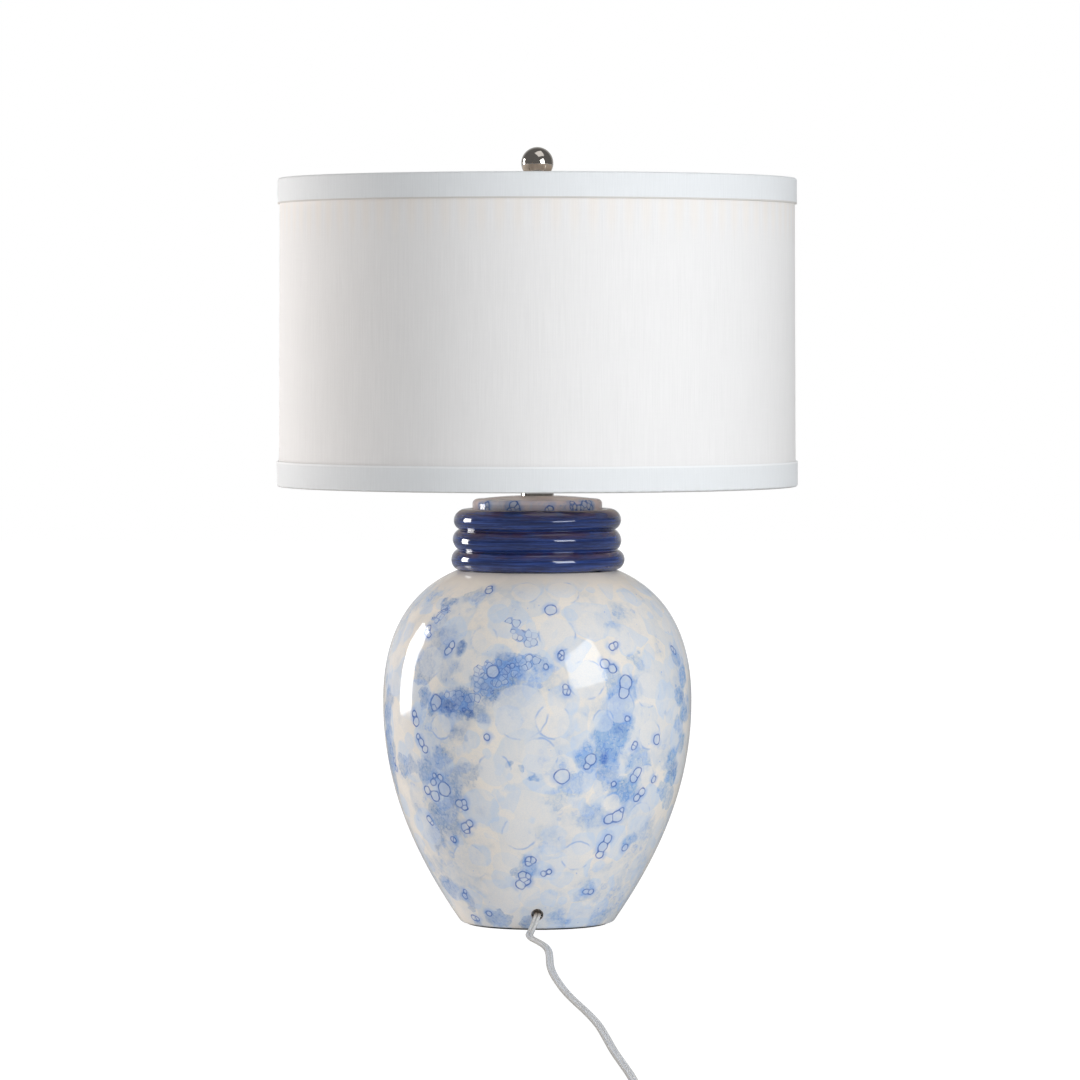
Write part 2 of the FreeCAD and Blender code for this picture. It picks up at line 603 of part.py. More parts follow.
def turn_jar(body):
    """The whole jar, turned in one: foot, flank, belly, shoulder and neck, hollow above its floor."""
    outline = new_sketch(body, "jar_outline")
    draw(
        outline,
        ("pipe_radius + ceramic_gap", "recess_height"),
        line("recess_radius + recess_draw", "recess_height"),
        line("recess_radius", "0"),
        line("foot_radius", "0"),
        curve(
            "foot_radius + flank_pull * sin(flank_lean)", "flank_pull * cos(flank_lean)",
            "belly_radius", "belly_height - belly_pull_low",
            "belly_radius", "belly_height",
        ),
        curve(
            "belly_radius", "belly_height + belly_pull_high",
            "ledge_radius + shoulder_pull * cos(shoulder_lean)",
            "ledge_height - shoulder_pull * sin(shoulder_lean)",
            "ledge_radius", "ledge_height",
        ),
        line("neck_radius", "ledge_height"),
        line("neck_radius", "ledge_height + neck_height"),
        line("neck_bore", "ledge_height + neck_height"),
        line("neck_bore", "ledge_height - jar_wall"),
        curve(
            "neck_bore + cavity_shoulder_pull * cos(shoulder_lean)",
            "ledge_height - jar_wall - cavity_shoulder_pull * sin(shoulder_lean)",
            "belly_radius - jar_wall", "belly_height + belly_pull_high",
            "belly_radius - jar_wall", "belly_height",
        ),
        curve(
            "belly_radius - jar_wall", "belly_height - cavity_pull",
            "cavity_corner + cavity_pull * sin(cavity_lean)",
            "floor_top + cavity_pull * cos(cavity_lean)",
            "cavity_corner", "floor_top",
        ),
        line("pipe_radius + ceramic_gap", "floor_top"),
    )
    return revolve(body, outline)


def trim_jar(body, height, above):
    """Cuts away what lies above or below a height, measured from the jar's foot."""
    sketch = new_sketch(body, "joint", "XY_Plane", height)
    circle(sketch, "belly_radius + jar_wall")
    cut(body, sketch, reverse=above)


def make_jar():
    """The jar in the sections that are luted together: foot with its floor, belly, shoulder and neck."""
    body = new_body("jar_foot", "felt_thickness")
    solid = turn_jar(body)
    foot = value("foot_radius")

    def on_the_foot(edge):
        return edge.BoundBox.ZMax < 0.1 and edge.BoundBox.XMax > foot - 0.1

    round_edges(body, solid, "foot_round", on_the_foot)
    hole = new_sketch(body, "cord_hole")
    circle(hole, "cord_hole_radius", "0", "cord_hole_height")
    cut(body, hole, reverse=True)
    trim_jar(body, "floor_top", above=True)
    for name, low, high in (
        ("jar_belly", "floor_top", "belly_height"),
        ("jar_shoulder", "belly_height", "ledge_height"),
        ("jar_neck", "ledge_height", None),
    ):
        section = new_body(name, "felt_thickness")
        turn_jar(section)
        trim_jar(section, low, above=False)
        if high:
            trim_jar(section, high, above=True)


def make_collar():
    """Three stacked rings in one sleeve round the neck."""
    low_notch = "(low_ring_radius + middle_ring_radius) / 2 - ring_notch"
    high_notch = "(middle_ring_radius + high_ring_radius) / 2 - ring_notch"
    turned(
        "ring_collar", "ledge_z",
        ("neck_radius + collar_gap", "0"),
        line("low_ring_radius - ring_tuck", "0"),
        arc("low_ring_radius", "ring_height / 2", low_notch, "ring_height"),
        arc("middle_ring_radius", "ring_height * 1.5", high_notch, "ring_height * 2"),
        arc("high_ring_radius", "ring_height * 2.5", "high_ring_radius - ring_tuck", "ring_height * 3"),
        line("neck_radius + collar_gap", "ring_height * 3 - collar_gap"),
    )


def make_lid():
    """The domed lid, with a lip that locates it in the neck."""
    lip_outer = "neck_bore - lip_gap"
    shoulder = "neck_radius - lid_round"
    turned(
        "jar_lid", "rim_z",
        ("pipe_radius + ceramic_gap", "lid_height - lid_wall"),
        line("neck_bore - lip_gap - lip_wall", "lid_rim_height - lid_wall / 2"),
        line("neck_bore - lip_gap - lip_wall", "-lip_length"),
        line(lip_outer, "-lip_length"),
        line(lip_outer, "0"),
        line("neck_radius", "0"),
        line("neck_radius", "lid_rim_height"),
        arc(
            "neck_radius - lid_round * 0.27", "lid_rim_height + lid_round_rise * 0.7",
            shoulder, "lid_rim_height + lid_round_rise",
        ),
        arc(
            "neck_radius * 0.52", "lid_height - lid_crown * 0.25",
            "pipe_radius + ceramic_gap", "lid_height",
        ),
    )


def make_pipe_and_clamp():
    """The threaded pipe that holds the lamp together, and what clamps it under the jar's floor."""
    tube("lamp_pipe", "pipe_z", "pipe_radius", "pipe_bore", "pipe_top_z - pipe_z")
    tube("bottom_plate", "plate_z", "plate_radius", "pipe_radius + pipe_gap", "plate_thickness")
    washer = tube("lock_washer", "washer_z", "washer_radius", "pipe_radius + pipe_gap", "washer_thickness")
    slit = new_sketch(washer, "washer_slit", "XY_Plane")
    box(slit, "0", "-washer_slit / 2", "washer_radius + 1", "washer_slit / 2")
    cut(washer, slit, both=True)
    hexagon = doc.addObject("Part::Prism", "nut_hexagon")
    hexagon.Polygon = 6
    bind(hexagon, Circumradius="nut_flats / sqrt(3)", Height="nut_thickness")
    thread = doc.addObject("Part::Cylinder", "nut_thread")
    bind(thread, Radius="pipe_radius + pipe_gap / 4", Height="nut_thickness")
    nut = doc.addObject("Part::Cut", "bottom_nut_cut")
    nut.Base = hexagon
    nut.Tool = thread
    bind(nut, Placement__Base__z="nut_z")
    keep(nut, "bottom_nut")


def make_base_felt():
    """The felt ring that the lamp stands on."""
    outer = "foot_radius - foot_round - felt_margin"
    tube("base_felt", "0", outer, "recess_radius + felt_margin", "felt_thickness")


def make_neck_tube():
    """The bright neck between the lid and the saddle: a thin tube with turned-in ends."""
    bore = "pipe_radius + pipe_gap"
    inside = "neck_tube_radius - neck_tube_wall"
    turned(
        "neck_tube", "lid_top_z",
        (bore, "0"),
        line("neck_tube_radius", "0"),
        line("neck_tube_radius", "neck_tube_height"),
        line(bore, "neck_tube_height"),
        line(bore, "neck_tube_height - neck_tube_wall"),
        line(inside, "neck_tube_height - neck_tube_wall"),
        line(inside, "neck_tube_wall"),
        line(bore, "neck_tube_wall"),
    )


def make_saddle():
    """The harp's saddle: a strap bent up on both sides, with a narrow tab at each end."""
    body = new_body("harp_saddle", "saddle_z")
    strap = new_sketch(body, "saddle_strap")
    inner_bend = "saddle_bend - strap_thickness"
    draw(
        strap,
        ("-bend_x", "0"),
        line("bend_x", "0"),
        arc(
            "bend_x + saddle_bend * sin(45)", "saddle_bend * (1 - cos(45))",
            "tab_outer", "saddle_bend",
        ),
        line("tab_outer", "tab_top"),
        line("tab_inner", "tab_top"),
        line("tab_inner", "saddle_bend"),
        arc(
            f"bend_x + ({inner_bend}) * sin(45)", f"saddle_bend - ({inner_bend}) * cos(45)",
            "bend_x", "strap_thickness",
        ),
        line("-bend_x", "strap_thickness"),
        arc(
            f"-bend_x - ({inner_bend}) * sin(45)", f"saddle_bend - ({inner_bend}) * cos(45)",
            "-tab_inner", "saddle_bend",
        ),
        line("-tab_inner", "tab_top"),
        line("-tab_outer", "tab_top"),
        line("-tab_outer", "saddle_bend"),
        arc(
            "-bend_x - saddle_bend * sin(45)", "saddle_bend * (1 - cos(45))",
            "-bend_x", "0",
        ),
    )
    pad(body, strap, "strap_width", both=True)
    disc = new_sketch(body, "saddle_disc", "XY_Plane")
    circle(disc, "saddle_disc_radius")
    pad(body, disc, "strap_thickness")
    hole = new_sketch(body, "saddle_hole", "XY_Plane")
    circle(hole, "pipe_radius + pipe_gap")
    cut(body, hole, both=True)
    for side in ("", "-"):
        flank = new_sketch(body, "tab_side" + ("_far" if side else "_near"), "YZ_Plane")
        near, far = f"{side}(tab_width / 2)", f"{side}strap_width"
        draw(
            flank, (near, "tab_foot"),
            line(far, "tab_foot"),
            line(far, "tab_top + 1"),
            line(near, "tab_top + 1"),
        )
        cut(body, flank, both=True)


def make_harp():
    """The harp: one bent wire whose top is flattened and pierced, with half-round feet beside the tabs."""
    body = new_body("harp_wire", "saddle_z")
    flat = new_sketch(body, "harp_flat", "XY_Plane", "harp_top - harp_flat_thickness / 2")
    half = "harp_flat_width / 2"
    straight = "harp_flat / 2 - harp_flat_width / 2"
    draw(
        flat,
        (f"-({straight})", f"-({half})"),
        line(straight, f"-({half})"),
        arc("harp_flat / 2", "0", straight, half),
        line(f"-({straight})", half),
        arc("-harp_flat / 2", "0", f"-({straight})", f"-({half})"),
    )
    pad(body, flat, "harp_flat_thickness")
    path = new_sketch(body, "harp_path")
    trace(
        path, ("harp_spread / 2", "leg_foot"), math.pi / 2,
        go("harp_leg"),
        turn("harp_flare_angle", "harp_flare", left=False),
        turn("harp_flare_angle", "bow_radius"),
        go("harp_side"),
        turn("crown_angle", "bow_radius"),
        turn("90 - crown_angle", "crown_radius"),
        go("harp_flat / 2 - stud_flange_radius - 0.4"),
    )
    section = new_sketch(body, "harp_section", "XY_Plane", "leg_foot")
    circle(section, "harp_wire", "harp_spread / 2")
    side = pipe(body, section, path)
    doc.recompute()
    mirrored(body, [side])
    foot = new_sketch(body, "harp_foot")
    box(foot, "leg_cut", "0", "tab_outer + 1", "tab_top + leg_gap")
    cut(body, foot, both=True)
    far_foot = new_sketch(body, "harp_far_foot")
    box(far_foot, "-(tab_outer + 1)", "0", "-leg_cut", "tab_top + leg_gap")
    cut(body, far_foot, both=True)
    eye = new_sketch(body, "harp_eye", "XY_Plane")
    circle(eye, "stud_pin_radius + slide_gap")
    cut(body, eye, both=True)


def make_ferrules():
    """The two sleeves that slide down over the tabs and lock the harp."""
    for name, side in (("ferrule_left", "-"), ("ferrule_right", "")):
        body = turned(
            name, "saddle_z + leg_foot",
            ("ferrule_radius - ferrule_wall", "0"),
            line("ferrule_radius", "0"),
            line("ferrule_radius", "ferrule_height"),
            line("harp_wire + slide_gap", "ferrule_height"),
            line("harp_wire + slide_gap", "ferrule_height - ferrule_lip"),
            line("ferrule_radius - ferrule_wall", "ferrule_height - ferrule_lip"),
        )
        bind(body, Placement__Base__x=f"{side}harp_spread / 2")


def make_stud():
    """The threaded stud on the harp's top: it turns on a riveted pin."""
    under = "-(stud_flange + harp_flat_thickness + 2 * stud_play)"
    turned(
        "harp_stud", "harp_seat_z",
        ("0", f"{under} - stud_head"),
        line("stud_head_radius", f"{under} - stud_head"),
        line("stud_head_radius", under),
        line("stud_pin_radius", under),
        line("stud_pin_radius", "-stud_flange"),
        line("stud_flange_radius", "-stud_flange"),
        line("stud_flange_radius", "0"),
        line("stud_radius", "0"),
        line("stud_radius", "stud_height"),
        line("0", "stud_height"),
    )


def make_spider():
    """The spider: a washer on the stud, and the arms that drop from the shade's upper ring to it."""
    tube("spider_hub", "harp_seat_z", "hub_radius", "stud_radius + hub_gap", "hub_thickness")
    body = new_body("spider_arms", "arm_z")
    path = new_sketch(body, "arm_path")
    trace(
        path, ("arm_start", "0"), 0,
        go("arm_run - arm_start"),
        turn("arm_slope", "arm_bend"),
        go("arm_climb"),
        turn("arm_slope", "arm_bend", left=False),
        go("arm_foot"),
    )
    section = new_sketch(body, "arm_section", "YZ_Plane", "arm_start")
    circle(section, "arm_wire")
    arm = pipe(body, section, path)
    doc.recompute()
    around(body, arm, "arm_count")
    body.Placement.Rotation = Rotation(Vector(0, 0, 1), 90)


def make_shade_rings():
    """The wire rings in the shade's two edges."""
    for name, radius, z in (
        ("shade_top_ring", "top_ring_radius", "shade_top_z - ring_inset"),
        ("shade_bottom_ring", "bottom_ring_radius", "shade_bottom_z + ring_inset"),
    ):
        ring = doc.addObject("Part::Torus", name + "_torus")
        bind(ring, Radius1=radius, Radius2="shade_ring_wire", Placement__Base__z=z)
        keep(ring, name)


def make_shade_panel():
    """The drum of fabric on its stiff backing."""
    height = "shade_height - 2 * panel_inset"
    turned(
        "shade_panel", "shade_bottom_z + panel_inset",
        ("shade_bottom_radius - shade_wall", "0"),
        line("shade_bottom_radius", "0"),
        line("shade_top_radius", height),
        line("shade_top_radius - shade_wall", height),
    )


def make_trim(name, z, fabric, inner, up):
    """A band of fabric folded over one edge of the shade; up is the sign of the way into the shade."""
    outer = f"{fabric} + trim_proud"
    body = turned(
        name, z,
        (f"{fabric} + trim_gap", f"{up}trim_height"),
        line(outer, f"{up}trim_height"),
        line(outer, f"{up}trim_round"),
        arc(f"{outer} - trim_round * 0.293", f"{up}trim_round * 0.293", f"{outer} - trim_round", "0"),
        line(f"{inner} + trim_round", "0"),
        arc(f"{inner} + trim_round * 0.293", f"{up}trim_round * 0.293", inner, f"{up}trim_round"),
        line(inner, f"{up}trim_return"),
        line(f"{inner} + trim_wall", f"{up}trim_return"),
        line(f"{inner} + trim_wall", f"{up}trim_wall"),
        line(f"{fabric} + trim_gap", f"{up}trim_wall"),
    )
    return body


def make_trims():
    """Both bands; the upper one is slotted where the spider's arms pass."""
    body = make_trim("shade_top_trim", "shade_top_z", "shade_top_radius", "top_trim_inner", "-")
    slot = new_sketch(body, "arm_slot", "YZ_Plane", "arm_end - arm_foot - notch_lead")
    slot_top = "-(ring_inset - arm_wire - trim_gap)"
    box(slot, "-trim_notch / 2", "-(trim_return + 1)", "trim_notch / 2", slot_top)
    notch = cut(body, slot, reverse=True, length="arm_foot + notch_lead + trim_gap")
    around(body, notch, "arm_count")
    body.Placement.Rotation = Rotation(Vector(0, 0, 1), 90)
    make_trim("shade_bottom_trim", "shade_bottom_z", "shade_bottom_radius", "bottom_trim_inner", "")


def make_finial():
    """The finial: a turned base threaded on the stud, and its polished ball."""
    turned(
        "finial_base", "hub_top_z",
        ("stud_radius + slide_gap", "0"),
        line("finial_flange_radius", "0"),
        line("finial_flange_radius", "finial_flange"),
        arc(
            "finial_waist_radius + 0.6", "finial_flange + 1.6",
            "finial_waist_radius", "finial_shank - 2",
        ),
        line("finial_waist_radius", "finial_shank + 1"),
        line("stud_radius + slide_gap", "finial_shank + 1"),
    )
    seat = "finial_waist_radius + slide_gap"
    depth = "finial_bore_depth - finial_shank"
    turned(
        "finial_ball", "hub_top_z + finial_shank",
        ("0", depth),
        line(seat, depth),
        line(seat, "finial_ball_radius - sqrt(finial_ball_radius^2 - (finial_waist_radius + slide_gap)^2)"),
        arc("finial_ball_radius", "finial_ball_radius", "0", "finial_ball_radius * 2"),
    )


def make_socket_metal():
    """The socket's cap and its shell, with a rolled edge and a slot for the switch."""
    bore = "pipe_radius + pipe_gap / 2"
    inner_bell = "cap_radius - cap_wall"
    cap = turned(
        "socket_cap", "socket_z",
        (bore, "0"),
        line("cap_bush_radius", "0"),
        line("cap_bush_radius", "cap_bush_height"),
        arc(
            "cap_radius - 2.2", "(cap_bush_height + cap_bell_height) / 2 - 1.6",
            "cap_radius", "cap_bell_height",
        ),
        line("cap_radius", "cap_height"),
        line(inner_bell, "cap_height"),
        line(inner_bell, "cap_bell_height + 0.3"),
        arc(
            "cap_radius - 3.2", "(cap_bush_height + cap_bell_height) / 2 - 0.7",
            "cap_bush_radius - cap_wall", "cap_bush_height + cap_wall",
        ),
        line(bore, "cap_bush_height + cap_wall"),
    )
    screw_hole = new_sketch(cap, "set_screw_hole")
    circle(screw_hole, "set_screw_radius + shell_gap / 4", "0", "set_screw_height")
    cut(cap, screw_hole, reverse=True)
    wall = "shell_radius - shell_wall"
    shell = turned(
        "socket_shell", "socket_z",
        (wall, "shell_bottom"),
        line("shell_radius", "shell_bottom"),
        line("shell_radius", "shell_top - shell_bead * 2"),
        arc("shell_radius + shell_bead", "shell_top - shell_bead", "shell_radius", "shell_top"),
        line(wall, "shell_top"),
    )
    slot = new_sketch(shell, "shell_slot")
    box(slot, "-slot_width / 2", "shell_bottom - 1", "slot_width / 2", "slot_top")
    cut(shell, slot)
    screw = new_body("cap_set_screw", "socket_z + set_screw_height")
    section = new_sketch(screw, "set_screw_section")
    circle(section, "set_screw_radius")
    lift = "pipe_radius + pipe_gap"
    bind(section, AttachmentOffset__Base__z=lift)
    pad(screw, section, f"cap_bush_radius + set_screw_proud - ({lift})")


def make_socket_inside():
    """The card lining, the moulded body with its terminals, the bulb's sleeve and the centre contact."""
    liner = tube(
        "socket_liner", "socket_z + shell_bottom + liner_inset",
        "liner_radius", "liner_radius - liner_wall", "shell_top - shell_bottom - 2 * liner_inset",
    )
    slot = new_sketch(liner, "liner_slot")
    box(slot, "-slot_width / 2", "-1", "slot_width / 2", "slot_top - shell_bottom - liner_inset")
    cut(liner, slot)

    insulator = new_body("socket_insulator", "socket_z + insulator_bottom")
    section = new_sketch(insulator, "insulator_section", "XY_Plane")
    circle(section, "insulator_radius")
    pad(insulator, section, "insulator_top - insulator_bottom")
    shaft_hole = new_sketch(insulator, "shaft_hole")
    circle(shaft_hole, "shaft_radius + slide_gap", "0", "switch_height - insulator_bottom")
    cut(insulator, shaft_hole)
    terminals = new_body("terminal_screws", "socket_z + terminal_height")
    for side, reverse in (("", False), ("-", True)):
        suffix = "_far" if side else "_near"
        flat = new_sketch(insulator, "terminal_flat" + suffix, "XY_Plane")
        near, far = f"{side}terminal_flat", f"{side}(insulator_radius + 1)"
        reach = "insulator_radius"
        draw(flat, (near, f"-{reach}"), line(far, f"-{reach}"), line(far, reach), line(near, reach))
        depth = "terminal_height + terminal_head_radius + 1 - insulator_bottom"
        cut(insulator, flat, reverse=True, length=depth)
        hole = new_sketch(insulator, "terminal_hole" + suffix, "YZ_Plane")
        circle(hole, "terminal_shank_radius + slide_gap", "0", "terminal_height - insulator_bottom")
        cut(insulator, hole, reverse=not reverse)
        head = new_sketch(terminals, "terminal_head" + suffix, "YZ_Plane", f"{side}terminal_flat")
        circle(head, "terminal_head_radius")
        pad(terminals, head, "terminal_head").Reversed = reverse
        shank = new_sketch(terminals, "terminal_shank" + suffix, "YZ_Plane", f"{side}terminal_flat")
        circle(shank, "terminal_shank_radius")
        pad(terminals, shank, "terminal_shank").Reversed = not reverse

    lip = "screw_shell_bore - 4"
    floor = "screw_shell_radius - screw_shell_bore"
    turned(
        "screw_shell", "socket_z + insulator_top",
        (lip, "0"),
        line("screw_shell_radius", "0"),
        line("screw_shell_radius", "screw_shell_height"),
        line("screw_shell_bore", "screw_shell_height"),
        line("screw_shell_bore", floor),
        line(lip, floor),
    )
    contact = new_body("centre_contact", "socket_z + insulator_top")
    strip = new_sketch(contact, "contact_strip")
    draw(
        strip,
        ("-contact_reach", "0"),
        line("0", "0"),
        line("contact_reach", "contact_rise"),
        line("contact_reach", "contact_rise + contact_thickness"),
        line("0", "contact_thickness"),
        line("-contact_reach", "contact_thickness"),
    )
    pad(contact, strip, "contact_width", both=True)


def make_switch():
    """The switch's shaft and its flat-sided knob, which point to +Y."""
    outward = Rotation(Vector(1, 0, 0), -90)
    shaft = new_body("switch_shaft", "socket_z + switch_height")
    rod = new_sketch(shaft, "shaft_section", "XY_Plane", "shaft_inner")
    circle(rod, "shaft_radius")
    pad(shaft, rod, "knob_inner - shaft_inner + knob_hole_depth - 0.5")
    shaft.Placement.Rotation = outward
    knob = new_body("switch_knob", "socket_z + switch_height")
    outline = new_sketch(knob, "knob_outline")
    end = "knob_inner + knob_length"
    draw(
        outline,
        ("0", "knob_inner + knob_hole_depth"),
        line("shaft_radius + slide_gap", "knob_inner + knob_hole_depth"),
        line("shaft_radius + slide_gap", "knob_inner"),
        line("knob_radius - 0.6", "knob_inner"),
        line("knob_radius", "knob_inner + knob_collar"),
        line("knob_radius - 0.4", f"{end} - 1.6"),
        arc("knob_radius - 0.9", f"{end} - 0.5", "knob_radius - 2", end),
        line("0", end),
    )
    revolve(knob, outline)
    for side in ("", "-"):
        cheek = new_sketch(knob, "knob_cheek" + ("_far" if side else "_near"))
        near, far = f"{side}(knob_thickness / 2)", f"{side}(knob_radius + 1)"
        foot = "knob_inner + knob_collar"
        draw(cheek, (near, foot), line(far, foot), line(far, f"{end} + 1"), line(near, f"{end} + 1"))
        cut(knob, cheek, both=True)
    knob.Placement.Rotation = outward


def make_bulb():
    """The bulb: contact, threaded cap and glass globe."""
    turned(
        "bulb_contact", "bulb_z",
        ("0", "0"),
        line("bulb_tip_radius - 1", "0"),
        line("bulb_tip_radius", "bulb_tip"),
        line("bulb_button_radius", "bulb_button_top - 0.8"),
        line("bulb_button_radius", "bulb_button_top"),
        line("0", "bulb_button_top"),
    )
    threads = []
    for ridge in range(4):
        foot = f"bulb_thread_start + bulb_thread_pitch * {ridge}"
        threads.append(arc(
            "bulb_thread_crest", f"{foot} + bulb_thread_pitch / 2",
            "bulb_thread_root", f"{foot} + bulb_thread_pitch",
        ))
    wall = "bulb_thread_root - 0.5"
    turned(
        "bulb_cap", "bulb_z",
        ("bulb_button_radius + slide_gap", "bulb_button_top - 0.8"),
        line("bulb_thread_root", "bulb_thread_start"),
        *threads,
        line("bulb_thread_crest", "bulb_cap_height - 4"),
        line("bulb_thread_crest", "bulb_cap_height"),
        line(wall, "bulb_cap_height"),
        line(wall, "bulb_thread_start + 0.3"),
        line("bulb_button_radius + slide_gap", "bulb_button_top"),
    )
    globe = "bulb_height - bulb_radius"
    neck = "bulb_thread_root - 0.7"
    turned(
        "bulb_glass", "bulb_z",
        (f"{neck} - bulb_glass", "bulb_cap_height - 5"),
        line(neck, "bulb_cap_height - 5"),
        line(neck, "bulb_cap_height + 0.3"),
        line("bulb_thread_crest", "bulb_cap_height + 0.6"),
        curve(
            "bulb_thread_crest + 1", "bulb_cap_height + 20",
            "bulb_radius", f"{globe} - 22",
            "bulb_radius", globe,
        ),
        arc(f"bulb_radius * cos(45)", f"{globe} + bulb_radius * sin(45)", "0", "bulb_height"),
        line("0", "bulb_height - bulb_glass"),
        arc(
            "(bulb_radius - bulb_glass) * cos(45)",
            f"{globe} + (bulb_radius - bulb_glass) * sin(45)",
            "bulb_radius - bulb_glass", globe,
        ),
        curve(
            "bulb_radius - bulb_glass", f"{globe} - 22",
            "bulb_thread_crest + 1 - bulb_glass", "bulb_cap_height + 20",
            f"{neck} - bulb_glass", "bulb_cap_height + 1.4",
        ),
    )


def make_inner_cord():
    """The cord inside the lamp: from its hole across the recess and up the pipe to the socket."""
    body = new_body("cord_inside")
    path = new_sketch(body, "inner_path", "YZ_Plane")
    trace(
        path, ("-cord_exit", "cord_z"), 0,
        go("cord_exit - cord_bend"),
        turn("90", "cord_bend"),
        go("pipe_top_z + cord_above_pipe - cord_z - cord_bend"),
    )
    section = new_sketch(body, "inner_section", "XZ_Plane", "cord_exit")
    circle(section, "cord_radius", "0", "cord_z")
    pipe(body, section, path)


def arc_after(start, heading, end):
    """The arc that leaves start along heading and ends at end."""
    chord = end - start
    across = heading - chord * (heading.dot(chord) / chord.dot(chord))
    if across.Length < 1e-9:
        return Part.LineSegment(start, end)
    half_turn = heading.getAngle(chord)
    middle = start + chord / 2 + across.normalize() * (chord.Length / 2 * math.tan(half_turn / 2))
    return Part.Arc(start, middle, end)


def biarc(start, heading, end, end_heading):
    """Two arcs that leave start along heading and reach end along end_heading."""
    chord = end - start
    both = heading + end_heading
    fold = 2 * heading.dot(end_heading) - 2
    slope = chord.dot(both)
    if abs(fold) < 1e-9:
        reach = chord.dot(chord) / (2 * slope)
    else:
        reach = (slope - math.sqrt(slope ** 2 - fold * chord.dot(chord))) / fold
    joint = (start + heading * reach + end - end_heading * reach) / 2
    into_joint = (end - end_heading * reach - start - heading * reach).normalize()
    return [arc_after(start, heading, joint), arc_after(joint, into_joint, end)]


def rounded_route(points):
    """Straight runs joined by tangent arcs, each as large as its two runs allow; prints their radii."""
    edges = []
    radii = []
    spot = points[0]
    for before, corner, after in zip(points, points[1:], points[2:]):
        into = (corner - before).normalize()
        out = (after - corner).normalize()
        half_turn = into.getAngle(out) / 2
        setback = 0.45 * min((corner - before).Length, (after - corner).Length)
        radii.append(setback / math.tan(half_turn))
        start = corner - into * setback
        end = corner + out * setback
        edges.append(Part.LineSegment(spot, start))
        edges.append(arc_after(start, into, end))
        spot = end
    edges.append(Part.LineSegment(spot, points[-1]))
    print("cord radii, mm:", " ".join(f"{radius:.0f}" for radius in radii))
    return edges


def round_tube(name, edges, radius):
    """A tube along a path of tangent edges, and its path's length."""
    spine = Part.Wire([edge.toShape() for edge in edges])
    first = spine.Edges[0]
    start = first.FirstParameter
    ring = Part.makeCircle(radius, first.valueAt(start), first.tangentAt(start))
    solid = spine.makePipeShell([Part.Wire(ring)], True, False)
    straight = math.pi * radius ** 2 * spine.Length
    print(f"{name}: length {spine.Length:.1f} mm, volume {solid.Volume / straight:.4f} of section times length")
    feature = doc.addObject("Part::Feature", name + "_tube")
    feature.Shape = solid
    keep(feature, name)
    return spine


def coil_point(angle):
    """The cord's middle after an angle of the coil: inwards below, outwards above, climbing between."""
    middle = value("coil_turns") * math.pi
    pitch = value("turn_pitch")
    radius = value("coil_core") + pitch * abs(angle - middle) / (2 * math.pi)
    climb = min(max((angle - middle) / math.pi + 0.5, 0), 1)
    height = value("coil_z") + pitch * climb
    centre_x = COIL_START[0] - value("coil_radius")
    return Vector(centre_x + radius * math.cos(-angle), COIL_START[1] + radius * math.sin(-angle), height)


def least_gap(spine, diameter):
    """The least gap between stretches of a wound cord that aren't neighbours along it."""
    spots = spine.discretize(Distance=3.0)
    skip = int(3 * diameter / 3.0)
    gaps = [
        (spot - other).Length
        for index, spot in enumerate(spots)
        for other in spots[index + skip:]
    ]
    return min(gaps) - diameter


def make_free_cord():
    """The cord on the table and the coil of what is left, wound in two layers, up to the plug."""
    diameter = 2 * value("cord_radius")
    entry = Vector(*COIL_START, value("coil_z"))
    entry_lead = entry + Vector(0, diameter, 0)
    route = [Vector(*spot) for spot in CORD_ROUTE] + [entry_lead]
    run = round_tube("cord_run", rounded_route(route), diameter / 2)

    step = 1e-4
    quarters = round(value("coil_turns") * 4)
    angles = [math.pi / 2 * quarter for quarter in range(quarters + 1)]
    spots = [coil_point(angle) for angle in angles]
    headings = [(coil_point(angle + step) - coil_point(angle - step)).normalize() for angle in angles]
    headings[0] = Vector(0, -1, 0)
    headings[-1] = Vector(-1, 0, 0)
    edges = [Part.LineSegment(entry_lead, entry)]
    for index in range(quarters):
        edges += biarc(spots[index], headings[index], spots[index + 1], headings[index + 1])
    leave = spots[-1] + headings[-1] * diameter
    edges.append(Part.LineSegment(spots[-1], leave))
    plug_side = Vector(leave.x - value("plug_lead"), leave.y, value("plug_z"))
    edges += biarc(leave, headings[-1], plug_side, headings[-1])
    rear = plug_side + headings[-1] * diameter
    edges.append(Part.LineSegment(plug_side, rear))
    coil = round_tube("cord_coil", edges, diameter / 2)
    print(f"coil: least gap to itself {least_gap(coil, diameter):.2f} mm")
    print(f"free cord: {run.Length + coil.Length:.0f} mm")
    return rear


def make_coil_tie():
    """A flat tie round the coil's turns, on the side away from the plug."""
    body = new_body("cord_tie")
    section = new_sketch(body, "tie_section")
    inner = "coil_core - cord_radius - tie_gap"
    outer = "coil_radius + cord_radius + tie_gap"
    top = "coil_z + turn_pitch + cord_radius + tie_gap"
    box(section, inner, "tie_thickness", outer, top)
    box(section, f"{inner} - tie_thickness", "0", f"{outer} + tie_thickness", f"{top} + tie_thickness")
    pad(body, section, "tie_width", both=True)
    centre = Vector(COIL_START[0] - value("coil_radius"), COIL_START[1], 0)
    body.Placement = Placement(centre, Rotation(Vector(0, 0, 1), 118))


